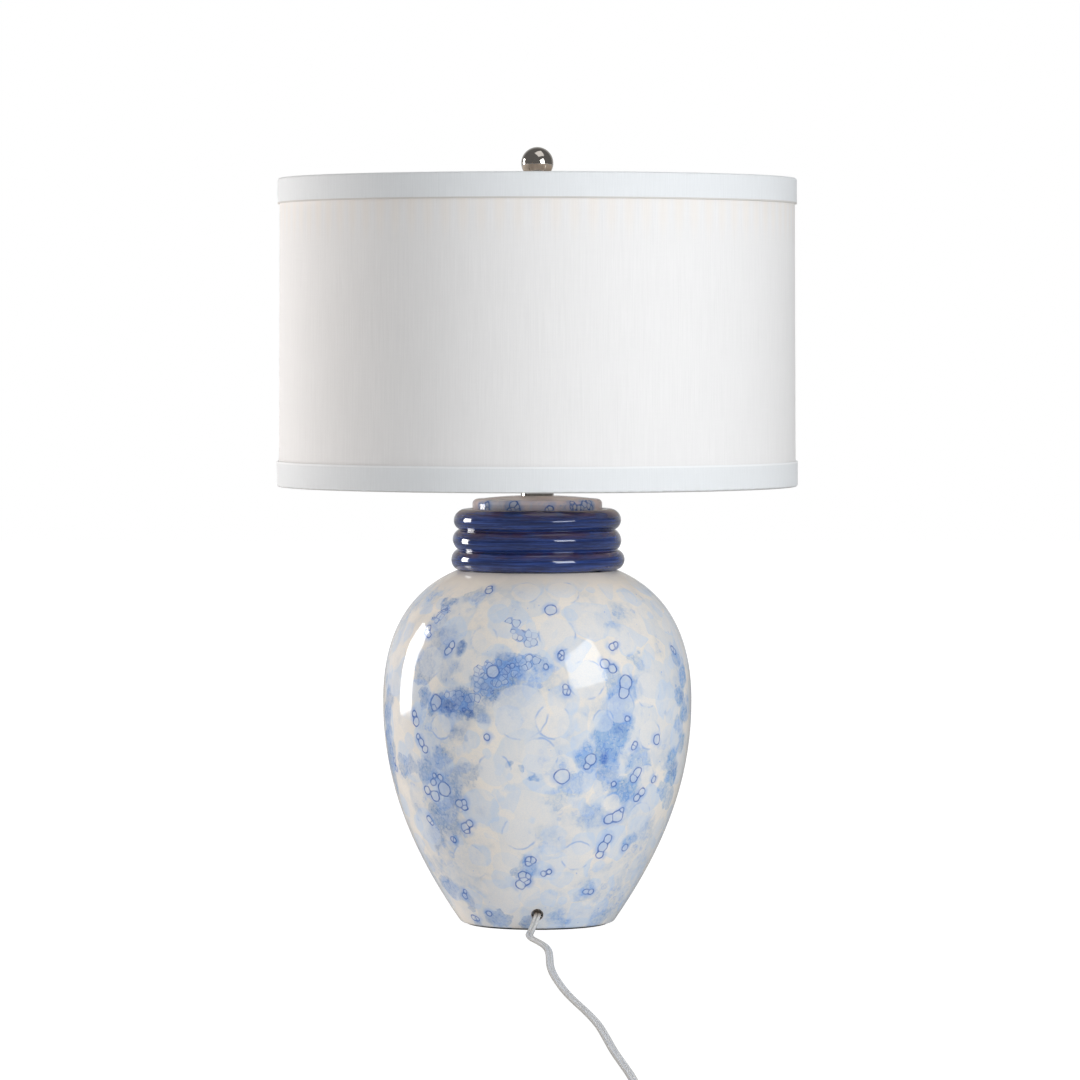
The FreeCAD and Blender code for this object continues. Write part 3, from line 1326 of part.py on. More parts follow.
def make_plug(rear):
    """The moulded plug with its grooved sleeve, and the two blades; it points to -X."""
    facing = Placement(rear, Rotation(Vector(0, 0, 1), Vector(-1, 0, 0)))
    body = new_body("plug_body", "plug_z")
    sections = []
    for name, width, thickness, lift in (
        ("plug_rear", "plug_rear_width", "plug_rear_thickness", "sleeve_length"),
        ("plug_waist", "plug_waist_width", "plug_thickness - 1", "sleeve_length + plug_length * 0.45"),
        ("plug_shoulder", "plug_width", "plug_thickness", "sleeve_length + plug_length * 0.8"),
        ("plug_front", "plug_width", "plug_thickness", "sleeve_length + plug_length"),
    ):
        section = new_sketch(body, name, "XY_Plane", lift)
        box(section, f"-({thickness}) / 2", f"-{width} / 2", f"({thickness}) / 2", f"{width} / 2")
        sections.append(section)
    loft = body.newObject("PartDesign::AdditiveLoft", "plug_form")
    loft.Profile = sections[0]
    loft.Sections = sections[1:]
    loft.Ruled = True
    sleeve = new_sketch(body, "sleeve_outline")
    steps = []
    for groove in range(4):
        start = f"sleeve_length * {0.12 + 0.2 * groove:.2f}"
        outer = f"sleeve_radius + (sleeve_root_radius - sleeve_radius) * {0.12 + 0.2 * groove:.2f}"
        steps += [
            line(outer, start),
            line(f"{outer} - sleeve_groove", start),
            line(f"{outer} - sleeve_groove", f"{start} + sleeve_length * 0.08"),
            line(outer, f"{start} + sleeve_length * 0.08"),
        ]
    draw(
        sleeve, ("0", "0"), line("sleeve_radius", "0"), *steps,
        line("sleeve_root_radius", "sleeve_length + 1"), line("0", "sleeve_length + 1"),
    )
    revolve(body, sleeve)
    slots = new_sketch(body, "blade_slots", "XY_Plane", "sleeve_length + plug_length - blade_root")
    blades = new_body("plug_blades", "plug_z")
    half = "blade_thickness / 2"
    for name, side, width in (("line", "", "blade_width"), ("neutral", "-", "wide_blade_width")):
        low = f"{side}blade_spacing / 2 - {half}"
        high = f"{side}blade_spacing / 2 + {half}"
        box(
            slots, f"-{width} / 2 - slide_gap", f"{low} - slide_gap",
            f"{width} / 2 + slide_gap", f"{high} + slide_gap",
        )
        section = new_sketch(blades, name + "_blade", "XY_Plane", "sleeve_length + plug_length - blade_root")
        box(section, f"-{width} / 2", low, f"{width} / 2", high)
        pad(blades, section, "blade_root + blade_length")
    cut(body, slots, reverse=True)
    body.Placement = facing
    holes = new_sketch(blades, "blade_holes")
    circle(holes, "blade_hole_radius", "0", "sleeve_length + plug_length + blade_length - blade_hole_inset")
    cut(blades, holes, both=True)
    blades.Placement = facing


def check_and_export():
    """Stops on a failed feature or a bad shape, then writes one file for each sub-part."""
    doc.recompute()
    for feature in doc.Objects:
        if "Invalid" in feature.State or "Error" in feature.State:
            raise RuntimeError(f"{feature.Label} failed: {feature.State}")
        if feature.isDerivedFrom("Sketcher::SketchObject") and not feature.FullyConstrained:
            print(f"{feature.Label} isn't fully constrained")
    os.makedirs("parts", exist_ok=True)
    for feature in nodes:
        shape = feature.Shape
        if shape.isNull() or not shape.isValid() or not shape.Solids:
            raise RuntimeError(f"{feature.Label} has no valid solid")
        shape.exportStep(f"parts/{feature.Label}.step")
        low, high = shape.BoundBox.ZMin, shape.BoundBox.ZMax
        print(f"{feature.Label}: {len(shape.Solids)} solids, z {low:.2f} to {high:.2f}")


make_base_felt()
make_jar()
make_collar()
make_lid()
make_pipe_and_clamp()
make_neck_tube()
make_saddle()
make_harp()
make_ferrules()
make_stud()
make_spider()
make_shade_rings()
make_shade_panel()
make_trims()
make_finial()
make_socket_metal()
make_socket_inside()
make_switch()
make_bulb()
make_inner_cord()
plug_rear = make_free_cord()
make_coil_tie()
make_plug(plug_rear)
check_and_export()
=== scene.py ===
import math
import random

import bpy
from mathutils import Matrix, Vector


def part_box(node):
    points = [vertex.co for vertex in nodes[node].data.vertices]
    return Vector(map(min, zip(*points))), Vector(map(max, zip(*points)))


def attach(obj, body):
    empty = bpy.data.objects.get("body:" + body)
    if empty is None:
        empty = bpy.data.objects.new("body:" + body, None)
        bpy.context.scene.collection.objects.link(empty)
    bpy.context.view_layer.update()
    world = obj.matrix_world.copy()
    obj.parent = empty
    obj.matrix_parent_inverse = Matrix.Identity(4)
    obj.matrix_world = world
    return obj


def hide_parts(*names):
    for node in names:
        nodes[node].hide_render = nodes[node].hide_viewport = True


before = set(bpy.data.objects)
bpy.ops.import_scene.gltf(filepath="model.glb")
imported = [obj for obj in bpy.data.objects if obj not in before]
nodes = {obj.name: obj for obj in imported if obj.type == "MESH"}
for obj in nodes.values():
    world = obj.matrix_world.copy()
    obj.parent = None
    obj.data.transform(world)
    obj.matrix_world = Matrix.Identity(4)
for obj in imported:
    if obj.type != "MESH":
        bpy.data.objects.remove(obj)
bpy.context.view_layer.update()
MM = 0.001
WHITE = (1, 1, 1)

# The photograph: its size, the lamp's axis in it, and the millimetres that a pixel spans at the axis.
PHOTO_SIZE = 1080
AXIS_X = 537.3
PIXEL = 0.886

# The camera, as far off and as high as the photograph's ellipses say. HORIZON is the row level with it.
HORIZON = 335.1
EYE_HEIGHT = 588.8 * PIXEL
CAMERA_REACH = 5500 * PIXEL
SENSOR_WIDTH = 36
CLIP_END = 60

# The cord's free stretch, from inside its hole to the coil, in millimetres.
CORD_ROUTE = (
    (0.3, -68.0, 15.0),
    (0.2, -78.0, 15.0),
    (-1.4, -87.0, 11.2),
    (-4.0, -95.5, 5.4),
    (-6.4, -106.0, 1.8),
    (-7.2, -124.0, 1.8),
    (-4.6, -149.0, 1.8),
    (1.4, -176.0, 1.8),
    (7.0, -207.0, 1.8),
    (9.9, -246.0, 1.8),
    (10.5, -298.0, 1.8),
    (10.6, -352.0, 1.8),
    (12.9, -410.0, 1.8),
    (17.1, -470.0, 1.8),
    (22.4, -532.0, 1.8),
    (29.6, -596.0, 1.8),
    (38.4, -664.0, 1.8),
    (46.2, -736.0, 1.8),
    (51.2, -812.0, 1.8),
    (55.6, -890.0, 1.8),
    (61.6, -966.0, 1.8),
    (67.4, -1040.0, 1.8),
    (69.6, -1106.0, 2.2),
    (70.0, -1160.0, 2.5),
)
COIL_START = (70.0, -1196.0)
COIL_RADIUS = 38.5
COIL_TURNS = 3.25
TURN_PITCH = 6.9
LAYER_HEIGHT = 3.7
COIL_Z = 2.5
POINTS_PER_TURN = 16

# From the coil's last turn into the back of the plug.
PLUG_LEAD = ((16.7, -1234.5, 6.5), (2.7, -1234.5, 6.9), (-7.3, -1234.5, 7.5), (-18.3, -1234.5, 7.5))

# The flat cord's section: the radius of a lobe, how far it lies from the middle, and its ribs.
LOBE_RADIUS = 1.75
LOBE_OFFSET = 1.45
RIB_DEPTH = 0.12
RIB_ANGLE = 10
RIB_STEPS = 13


def link(piece):
    """Puts a new object in the scene."""
    bpy.context.collection.objects.link(piece)
    return piece


def make_camera():
    """Aims the camera so that its frame matches the photograph's."""
    camera = link(bpy.data.objects.new("camera", bpy.data.cameras.new("camera")))
    middle = PHOTO_SIZE / 2
    camera.data.sensor_width = SENSOR_WIDTH
    camera.data.lens = SENSOR_WIDTH * CAMERA_REACH / (PHOTO_SIZE * PIXEL)
    camera.data.clip_end = CLIP_END
    camera.location = ((middle - AXIS_X) * PIXEL * MM, -CAMERA_REACH * MM, EYE_HEIGHT * MM)
    tilt = math.atan((middle - HORIZON) * PIXEL / CAMERA_REACH)
    camera.rotation_euler = (math.radians(90) - tilt, 0, 0)
    bpy.context.scene.camera = camera


def coil_points():
    """Control points of the coil's turns: inwards below, outwards above."""
    points = []
    # A smooth curve runs inside its control points, so they lie a little farther out.
    swell = 1 / math.cos(math.pi / POINTS_PER_TURN) ** 2
    middle = COIL_TURNS * math.pi
    for index in range(round(COIL_TURNS * POINTS_PER_TURN) + 1):
        angle = 2 * math.pi * index / POINTS_PER_TURN
        radius = COIL_RADIUS - TURN_PITCH * (middle - abs(angle - middle)) / (2 * math.pi)
        climb = min(max((angle - middle) / math.pi + 0.5, 0), 1)
        points.append((
            COIL_START[0] - COIL_RADIUS + radius * swell * math.cos(angle),
            COIL_START[1] - radius * swell * math.sin(angle),
            COIL_Z + LAYER_HEIGHT * climb,
        ))
    return points


def cord_outline():
    """The flat cord's section: two round lobes, each with fine ribs, joined by a web."""
    points = []
    for side in (1, -1):
        for step in range(-RIB_STEPS, RIB_STEPS + 1):
            angle = math.radians(step * RIB_ANGLE)
            radius = LOBE_RADIUS - (RIB_DEPTH if step % 2 else 0)
            points.append((side * (LOBE_OFFSET + radius * math.cos(angle)), side * radius * math.sin(angle)))
    return points


def profile_curve(name, outline):
    """A flat closed outline that a cord's curve is swept with; it isn't shown itself."""
    data = bpy.data.curves.new(name, "CURVE")
    data.dimensions = "2D"
    spline = data.splines.new("POLY")
    spline.points.add(len(outline) - 1)
    for point, (x, y) in zip(spline.points, outline):
        point.co = (x * MM, y * MM, 0, 1)
    spline.use_cyclic_u = True
    piece = link(bpy.data.objects.new(name, data))
    piece.hide_render = True
    piece.hide_viewport = True
    return piece


def swept_curve(name, points, profile):
    """A smooth curve that has these points as its control points, swept with the profile."""
    data = bpy.data.curves.new(name, "CURVE")
    data.dimensions = "3D"
    data.twist_mode = "Z_UP"
    data.resolution_u = 8
    data.bevel_mode = "OBJECT"
    data.bevel_object = profile
    data.use_fill_caps = True
    spline = data.splines.new("NURBS")
    spline.points.add(len(points) - 1)
    for point, place in zip(spline.points, points):
        point.co = (*(Vector(place) * MM), 1)
    spline.order_u = 3
    spline.use_endpoint_u = True
    return link(bpy.data.objects.new(name, data))


class NodeKit:
    """Adds nodes to a tree with short calls; a value may be a number, a colour or a socket."""

    def __init__(self, tree):
        self.nodes = tree.nodes
        self.links = tree.links

    def put(self, socket, value):
        if isinstance(value, bpy.types.NodeSocket):
            self.links.new(value, socket)
        elif isinstance(value, (tuple, list)) and len(value) == 3 and socket.type == "RGBA":
            socket.default_value = (*value, 1)
        else:
            socket.default_value = value

    def add(self, kind, inputs=(), **settings):
        node = self.nodes.new("ShaderNode" + kind)
        for key, value in settings.items():
            setattr(node, key, value)
        for key, value in dict(inputs).items():
            self.put(node.inputs[key], value)
        return node

    def math(self, operation, *values, clamp=False):
        return self.add("Math", enumerate(values), operation=operation, use_clamp=clamp).outputs[0]

    def times(self, first, *others):
        """The product of all the values."""
        for other in others:
            first = self.math("MULTIPLY", first, other)
        return first

    def vector(self, operation, *values):
        node = self.add("VectorMath", enumerate(values), operation=operation)
        return node.outputs["Value" if operation in ("DISTANCE", "LENGTH") else "Vector"]

    def scaled(self, vector, *factors):
        return self.vector("MULTIPLY", vector, factors * 3 if len(factors) == 1 else factors)

    def moved(self, vector, *offset):
        return self.vector("ADD", vector, offset)

    def bent(self, vector, bend, reach):
        """The vector moved by the bend, made this much larger."""
        return self.vector("ADD", vector, self.scaled(bend, reach))

    def split(self, vector):
        return self.add("SeparateXYZ", {0: vector}).outputs

    def joined(self, x, y, z):
        return self.add("CombineXYZ", {0: x, 1: y, 2: z}).outputs[0]

    def noise(self, vector, scale, detail=2.0, roughness=0.5):
        inputs = {"Vector": vector, "Scale": scale, "Detail": detail, "Roughness": roughness}
        return self.add("TexNoise", inputs).outputs

    def cells(self, vector, size, feature="F1", **more):
        inputs = {"Vector": vector, "Scale": 1 / size, **more}
        return self.add("TexVoronoi", inputs, feature=feature).outputs

    def channels(self, colour):
        return self.add("SeparateColor", {0: colour}).outputs

    def step(self, value, low, high, to_low=0.0, to_high=1.0):
        """The value smoothly taken from low..high to to_low..to_high."""
        inputs = {"Value": value, "From Min": low, "From Max": high, "To Min": to_low, "To Max": to_high}
        return self.add("MapRange", inputs, interpolation_type="SMOOTHSTEP").outputs[0]

    def band(self, value, low, high, top=1.0):
        """The opposite of step: top at low, nothing at high."""
        return self.step(value, low, high, top, 0.0)

    def mix(self, factor, first, second, blend="MIX"):
        """One colour taken to another."""
        inputs = {0: factor, 6: first, 7: second}
        return self.add("Mix", inputs, data_type="RGBA", blend_type=blend).outputs[2]

    def choose(self, factor, first, second):
        """One number taken to another."""
        return self.add("Mix", {0: factor, 2: first, 3: second}, data_type="FLOAT").outputs[0]

    def bump(self, height, distance, strength):
        inputs = {"Height": height, "Distance": distance * MM, "Strength": strength}
        return self.add("Bump", inputs).outputs[0]


class Paint(NodeKit):
    """One material: its shader, and the place on the piece in millimetres."""

    def __init__(self, name):
        self.material = bpy.data.materials.new(name)
        self.material.use_nodes = True
        super().__init__(self.material.node_tree)
        self.shader = self.nodes["Principled BSDF"]
        self.place = self.scaled(self.add("TexCoord").outputs["Object"], 1 / MM)

    def from_axis(self):
        """How far the place is from the axis."""
        x, y, _ = self.split(self.place)
        return self.vector("LENGTH", self.joined(x, y, 0.0))

    def around(self, radius):
        """The place as (arc length round the axis, height), in millimetres, for pieces turned about Z."""
        x, y, z = self.split(self.place)
        return self.joined(self.times(self.math("ARCTAN2", y, x), radius), z, 0.0)

    def wander(self, scale, detail):
        """A smooth random offset of up to half a unit each way."""
        return self.moved(self.noise(self.place, scale, detail)["Color"], -0.5, -0.5, -0.5)

    def finish(self, **values):
        """Sets the shader's sockets, each named with _ for a space."""
        for name, value in values.items():
            self.put(self.shader.inputs[name.replace("_", " ")], value)
        return self.material


def paint(material, *names):
    """Gives CAD nodes or pieces this material."""
    for name in names:
        piece = nodes[name] if isinstance(name, str) else name
        piece.data.materials.clear()
        piece.data.materials.append(material)


# The jar's glaze: its ground, the blues of its bubbles, the dyes that darken it, and the bare clay. The
# greyer dye on the jar's left is partly its own tone and partly painted shade.
CREAM = (0.93, 0.865, 0.785)
MAUVE = (0.84, 0.71, 0.71)
PALE_BLUE = (0.61, 0.72, 0.88)
GREY_BLUE = (0.66, 0.72, 0.80)
GRAIN_BLUE = (0.56, 0.63, 0.75)
BUBBLE_INSIDE = (0.70, 0.74, 0.80)
CORNFLOWER = (0.20, 0.39, 0.78)
DEEP_BLUE = (0.055, 0.15, 0.50)
DYE = (0.42, 0.625, 0.93)
GREY_DYE_AND_SHADE = (0.45, 0.59, 0.84)
POOL_DYE = (0.34, 0.49, 0.79)
BARE_CLAY = (0.74, 0.56, 0.40)

# The rings' glaze, with a darker navy painted as shade in the grooves between the rings.
NAVY = (0.009, 0.02, 0.095)
NAVY_STROKE = (0.03, 0.075, 0.32)
NAVY_STREAK = (0.075, 0.155, 0.46)
GROOVE_SHADE_NAVY = (0.01, 0.01, 0.04)
MAROON = (0.065, 0.022, 0.05)

# The shade's cloth: its tints, how bright its dark, light, slub and level threads are, and the lining.
CLOTH_TINT = (1.0, 0.974, 0.960)
TRIM_TINT = (0.935, 0.945, 0.955)
THREAD_LEVELS = (0.835, 0.875, 0.79, 0.90)
LINING = (0.88, 0.80, 0.72)
PANEL_RADIUS = 228.2
TRIM_RADIUS = 229.5

# Lines on the shade's bands: height in mm, half width and colour. The first is a painted highlight along the
# lower band's top edge; the other two are thin darker lines at the upper band's lower edge and at the shade's
# bottom edge.
BAND_HIGHLIGHT_AND_LINES = (
    (409.9, 1.5, (0.93, 0.93, 0.93)),
    (637.9, 1.1, (0.60, 0.56, 0.52)),
    (388.3, 1.0, (0.42, 0.40, 0.38)),
)

# Plain metals: dark and light tone, roughness, the scale of the grain along x, y and z, and the nodes.
METALS = {
    "zinc_steel": (
        (0.42, 0.43, 0.44), (0.58, 0.59, 0.60), 0.34, (0.5, 0.5, 3.0),
        ("lamp_pipe", "bottom_plate", "lock_washer", "cap_set_screw", "bulb_contact", "shade_top_ring",
         "shade_bottom_ring"),
    ),
    "brass": (
        (0.52, 0.36, 0.14), (0.68, 0.49, 0.22), 0.3, (1.5, 1.5, 1.5),
        ("bottom_nut", "terminal_screws", "centre_contact", "switch_shaft", "plug_blades"),
    ),
    "aluminium": (
        (0.62, 0.62, 0.63), (0.75, 0.75, 0.76), 0.3, (0.4, 0.4, 4.0),
        ("screw_shell", "bulb_cap"),
    ),
}
NICKEL_NODES = (
    "neck_tube", "harp_saddle", "harp_wire", "ferrule_left", "ferrule_right", "harp_stud", "spider_hub",
    "spider_arms", "finial_base", "finial_ball", "socket_cap", "socket_shell",
)
JAR_NODES = ("jar_foot", "jar_belly", "jar_shoulder", "jar_neck")

# The jar's outside as cubic curves, up to its belly and on to its ledge: radius and height in mm.
BELLY_RADIUS = 136.8
BELLY_Z = 197.6
LEDGE_TOP = 313.4
JAR_CURVES = (
    ((67.7, 1.5), (113.8, 67.8), (BELLY_RADIUS, 128.9), (BELLY_RADIUS, BELLY_Z)),
    ((BELLY_RADIUS, BELLY_Z), (BELLY_RADIUS, 265.6), (107.5, 298.2), (71.6, LEDGE_TOP)),
)
LID_RADIUS = 57.5
CORD_HOLE_Z = 15.0
CORD_HOLE_RADIUS = 5.25

# Under the rings the pattern fades between these heights, to this share of its strength.
FADE_START = 296
FADE_END = 308
FADED = 0.12

# The rings from below: radius at the foot, crest and top of each, and how many points it has.
RINGS = ((68.7, 77.1, 70.8, 18), (70.8, 74.9, 69.45, 16), (69.45, 74.4, 66.0, 18))
RING_HEIGHT = 18.2
COLLAR_BORE = 58.0
COLLAR_SIDES = 192


def cubic(curve, t):
    """The point at t, from 0 to 1, on the curve with these four control points."""
    a, b, c, d = curve
    u = 1 - t
    return tuple(
        u ** 3 * a[i] + 3 * u * u * t * b[i] + 3 * u * t * t * c[i] + t ** 3 * d[i] for i in range(2)
    )


def jar_radius(z):
    """The jar's outside radius at a height, in millimetres; above its ledge, the lid's."""
    if z > LEDGE_TOP:
        return LID_RADIUS
    curve = JAR_CURVES[0] if z < BELLY_Z else JAR_CURVES[1]
    low, high = 0.0, 1.0
    halvings = 30
    for _ in range(halvings):
        middle = (low + high) / 2
        low, high = (middle, high) if cubic(curve, middle)[1] < z else (low, middle)
    return cubic(curve, low)[0]


def surface_point(px, py):
    """Where a pixel of the photograph meets the front of the jar or the lid, in millimetres."""
    nearer = 1.0
    rounds = 5
    for _ in range(rounds):
        across = (px - AXIS_X) * PIXEL * nearer
        height = EYE_HEIGHT - (py - HORIZON) * PIXEL * nearer
        depth = math.sqrt(max(jar_radius(height) ** 2 - across ** 2, 0))
        nearer = 1 - depth / CAMERA_REACH
    return (across, -depth, height)


# Where the blue lies deepest: the photograph's x and y, the wash's reach in mm and its strength.
WASHES = (
    (440, 640, 17, 0.5), (424, 668, 15, 0.6), (448, 672, 13, 0.4), (476, 596, 14, 0.4),
    (436, 868, 12, 0.25), (412, 768, 9, 0.7), (440, 762, 11, 0.7), (420, 850, 12, 0.3),
    (666, 720, 10, 0.25), (574, 784, 12, 0.5), (560, 800, 10, 0.4), (640, 760, 14, 0.6), (436, 703, 8, 1.0),
    (452, 704, 8, 1.0), (467, 706, 8, 1.0), (472, 714, 7, 0.9), (596, 706, 16, 0.2), (668, 800, 12, 0.5),
    (458, 700, 10, 1.0), (450, 602, 7, 0.8), (473, 600, 4, 0.7), (386, 680, 5, 0.6), (386, 715, 12, 0.8),
    (389, 742, 14, 0.9), (391, 762, 14, 0.9), (395, 782, 12, 0.7), (426, 772, 13, 0.8),
    (418, 812, 12, 0.25), (468, 776, 13, 0.5), (452, 784, 14, 0.65), (634, 690, 10, 0.6),
    (608, 776, 13, 0.6), (452, 806, 13, 0.5), (507, 672, 17, 0.9), (487, 684, 15, 1.0), (462, 704, 12, 1.0),
    (446, 705, 9, 1.0), (478, 712, 8, 0.6), (461, 648, 6, 0.8), (440, 616, 12, 0.4), (482, 594, 11, 0.4),
    (610, 622, 12, 0.25), (622, 613, 8, 0.35), (612, 672, 11, 0.5), (618, 690, 12, 0.6),
    (622, 708, 12, 0.7), (638, 660, 8, 0.5), (676, 658, 9, 0.5), (683, 676, 10, 0.8), (679, 694, 12, 0.8),
    (684, 712, 10, 0.8), (678, 728, 9, 0.6), (681, 744, 9, 0.7), (673, 758, 11, 0.8), (672, 776, 12, 0.9),
    (663, 790, 9, 0.6), (402, 764, 12, 0.7), (388, 700, 12, 0.7), (617, 728, 16, 1.0), (607, 748, 18, 1.0),
    (604, 760, 6, 1.0), (588, 756, 13, 0.8), (626, 790, 15, 0.9), (404, 686, 6, 0.5), (443, 822, 17, 0.7),
    (438, 840, 13, 0.7), (509, 764, 4, 0.7), (536, 777, 4, 0.7), (522, 770, 4, 0.5), (590, 820, 13, 0.5),
    (527, 870, 11, 0.7), (648, 828, 12, 0.3), (450, 889, 12, 0.6), (468, 903, 9, 0.6), (585, 893, 10, 0.5),
    (600, 921, 12, 0.5), (500, 920, 11, 0.6), (530, 925, 9, 0.6), (560, 922, 9, 0.6), (478, 925, 8, 0.6),
    (436, 884, 6, 0.8), (454, 840, 5, 0.9), (540, 664, 9, 0.5), (423, 697, 8, 0.7), (630, 842, 8, 0.6),
    (456, 738, 9, 0.4),
)
LID_WASHES = (
    (484, 508, 9, 1.0), (514, 509, 9, 1.0), (588, 506, 11, 1.0), (570, 506, 12, 0.8), (540, 509, 12, 0.3),
)

# Where the dye pooled darkest, in the same terms.
POOLS = (
    (440, 703, 7, 0.8), (452, 703, 7, 0.8), (465, 705, 8, 1.0), (471, 715, 5, 0.8), (482, 688, 6, 0.6),
    (505, 668, 7, 0.5), (459, 648, 5, 0.6), (604, 760, 5, 0.9), (682, 696, 6, 0.5), (674, 768, 8, 0.5),
    (622, 730, 7, 0.35), (386, 735, 4, 0.9), (389, 762, 4, 0.9), (456, 802, 6, 0.6), (458, 700, 7, 0.8),
)

# Big bubbles that left a disc: the photograph's x and y, the radius in mm and how pale they are.
DISCS = (
    (539, 757, 16, 0.8), (557, 634, 16, 0.6), (639, 818, 14, 0.3), (621, 708, 14, 0.4), (441, 727, 11, 0.7),
    (494, 771, 15, 0.4), (645, 777, 11, 0.7), (612, 804, 9, 0.9), (520, 712, 24, 0.5), (430, 662, 14, 0.5),
    (587, 680, 17, 0.5), (431, 834, 13, 0.4), (604, 722, 10, 0.2), (553, 722, 15, 1.0), (470, 862, 17, 0.9),
    (526, 592, 13, 1.0), (563, 592, 14, 1.0), (650, 735, 13, 0.8), (519, 835, 15, 0.7), (577, 857, 14, 0.7),
    (484, 640, 12, 0.9), (648, 690, 15, 0.7),
)

# Small bubbles: the photograph's x and y and their size in mm; in a group, also how many and their spread.
BUBBLES = (
    (448, 651, 4.0), (452, 645, 3.8), (493, 672, 6.0), (551, 610, 5.0), (605, 664, 4.4), (613, 669, 4.6),
    (626, 683, 5.6), (624, 693, 5.8), (436, 702, 5.0), (434, 707, 3.4), (414, 714, 3.6), (416, 722, 4.0),
    (418, 737, 2.6), (421, 743, 3.0), (425, 750, 3.4), (394, 761, 2.8), (396, 769, 3.4), (434, 776, 2.4),
    (440, 778, 2.8), (433, 783, 3.0), (427, 791, 4.2), (435, 797, 4.6), (444, 790, 6.6), (459, 804, 3.0),
    (464, 803, 3.0), (465, 809, 3.2), (465, 828, 3.6), (470, 825, 3.2), (467, 832, 2.6), (429, 820, 3.2),
    (432, 824, 2.2), (591, 760, 4.8), (587, 767, 3.0), (562, 777, 5.6), (657, 740, 4.2), (638, 773, 4.0),
    (634, 779, 3.2), (654, 780, 3.2), (642, 793, 3.6), (637, 799, 3.2), (609, 820, 5.4), (618, 817, 5.0),
    (622, 811, 2.6), (608, 840, 3.6), (603, 848, 4.8), (600, 856, 3.2), (625, 849, 2.8),
    (524, 881, 3.6, 5, 6), (529, 861, 3.0, 3, 4), (543, 875, 2.4), (549, 873, 2.2), (427, 632, 2.6, 3, 4),
    (489, 591, 2.8, 2, 3), (616, 645, 3.0, 2, 4), (675, 652, 3.0, 2, 4), (560, 656, 2.4, 3, 5),
    (566, 692, 2.6, 3, 5), (628, 719, 2.2), (614, 785, 2.2), (634, 748, 2.4, 2, 4), (487, 738, 2.8),
    (452, 840, 2.4, 2, 3), (586, 893, 3.2), (591, 893, 2.6), (546, 667, 2.6), (465, 893, 2.4, 2, 4),
    (477, 920, 2.8, 2, 4), (489, 915, 2.4),
)
LID_BUBBLES = (
    (484, 508, 2.8, 5, 5), (513, 509, 2.9, 5, 5), (589, 506, 2.8, 5, 5), (579, 508, 2.4, 4, 5),
    (573, 505, 2.0, 3, 4), (547, 510, 2.0, 2, 4),
)

# The long foam of small cells, as overlapping spots: the photograph's x and y and the reach in mm.
FOAM = (
    (486, 686, 10.5), (482, 673, 9.0), (494, 679, 10.5), (506, 672, 10.5), (517, 667, 9.0), (528, 663, 8.0),
    (537, 660, 5.0), (456, 700, 7.0), (465, 703, 7.5), (473, 697, 5.0), (446, 698, 5.0), (514, 627, 6.0),
    (521, 633, 6.5), (529, 638, 6.0), (512, 618, 5.0), (438, 617, 6.0), (447, 610, 6.0),
)
FOAM_CELL = 5.6


def bubble_circles(groups):
    """Centres and radii of the small bubbles, pressed together in each group."""
    shake = random.Random(7)
    tries = 400
    circles = []
    for px, py, size, *group in groups:
        count, spread = group or (1, 0)
        placed = []
        for _ in range(tries):
            if len(placed) == count:
                break
            turn = shake.uniform(0, 2 * math.pi)
            reach = spread * math.sqrt(shake.random()) if placed else 0
            radius = size * shake.uniform(0.8, 1.2)
            x = px + reach * math.cos(turn)
            y = py + reach * math.sin(turn) * 1.15
            apart = [math.hypot(x - a, y - b) * PIXEL - (r + radius) for a, b, r in placed]
            if not placed or -0.95 * size < min(apart) < -0.3 * size:
                placed.append((x, y, radius))
        circles += [(surface_point(x, y), radius) for x, y, radius in placed]
    return circles


def folded(p):
    """The place with the back turned to the front, so that both sides carry the placed marks."""
    x, y, z = p.split(p.place)
    side = p.math("MULTIPLY_ADD", p.math("LESS_THAN", y, 0.0), 2.0, -1.0)
    return p.bent(p.joined(p.times(x, side), p.times(y, side), z), p.wander(0.14, 1), 2.6)


def wash_depth(p, where, washes):
    """How deep the blue lies: the strongest wash here, even up to 3/4 of its reach and gone by 5/4."""
    depth = 0.0
    for px, py, reach, strength in washes:
        away = p.vector("DISTANCE", where, surface_point(px, py))
        spot = p.math("MULTIPLY_ADD", away, -strength / (0.5 * reach), strength * 2.5, clamp=True)
        depth = p.math("MAXIMUM", depth, p.math("MINIMUM", spot, strength))
    return depth


def scattered_discs(p, where, size, offset, colour, base, strength, low=0.34, rim=0.7):
    """One layer of see-through discs pressed against each other, with slightly darker rims."""
    cells = p.cells(p.moved(where, *offset), size)
    red, green, blue = p.channels(cells["Color"])
    gap = p.math("SUBTRACT", p.math("MULTIPLY_ADD", red, 0.42, low), cells["Distance"])
    inside = p.times(p.step(gap, 0.0, 0.06), p.step(gap, 0.02, 0.4, 1.0, 0.68))
    depth = p.times(p.step(green, 0.0, 0.7), strength)
    painted = p.mix(p.times(inside, depth), base, colour)
    edge = p.times(inside, p.band(gap, 0.02, 0.08), depth, p.step(blue, 0.3, 0.9, 0.0, rim))
    return p.mix(edge, painted, colour)


def dyed_discs(p, where, base, dye, washes, share):
    """Whole bubbles of dye, pressed together, each as deep as the washes are at its own middle."""
    size = 34
    offset = (17, 3, 71)
    strength = 0.45
    cells = p.cells(p.moved(where, *offset), size, "SMOOTH_F1", Smoothness=0.3)
    red, green, _ = p.channels(cells["Color"])
    depth = wash_depth(p, p.moved(cells["Position"], *(-part for part in offset)), washes)
    gap = p.math("SUBTRACT", p.math("MULTIPLY_ADD", red, 0.4, 0.36), cells["Distance"])
    amount = p.times(p.step(gap, -0.02, 0.12), p.step(gap, 0.05, 0.32, 1.15, 0.7), p.times(depth, share))
    amount = p.math("MULTIPLY", amount, p.step(green, 0.0, 0.6, 0.45 * strength, strength), clamp=True)
    return p.mix(amount, base, dye, "MULTIPLY")


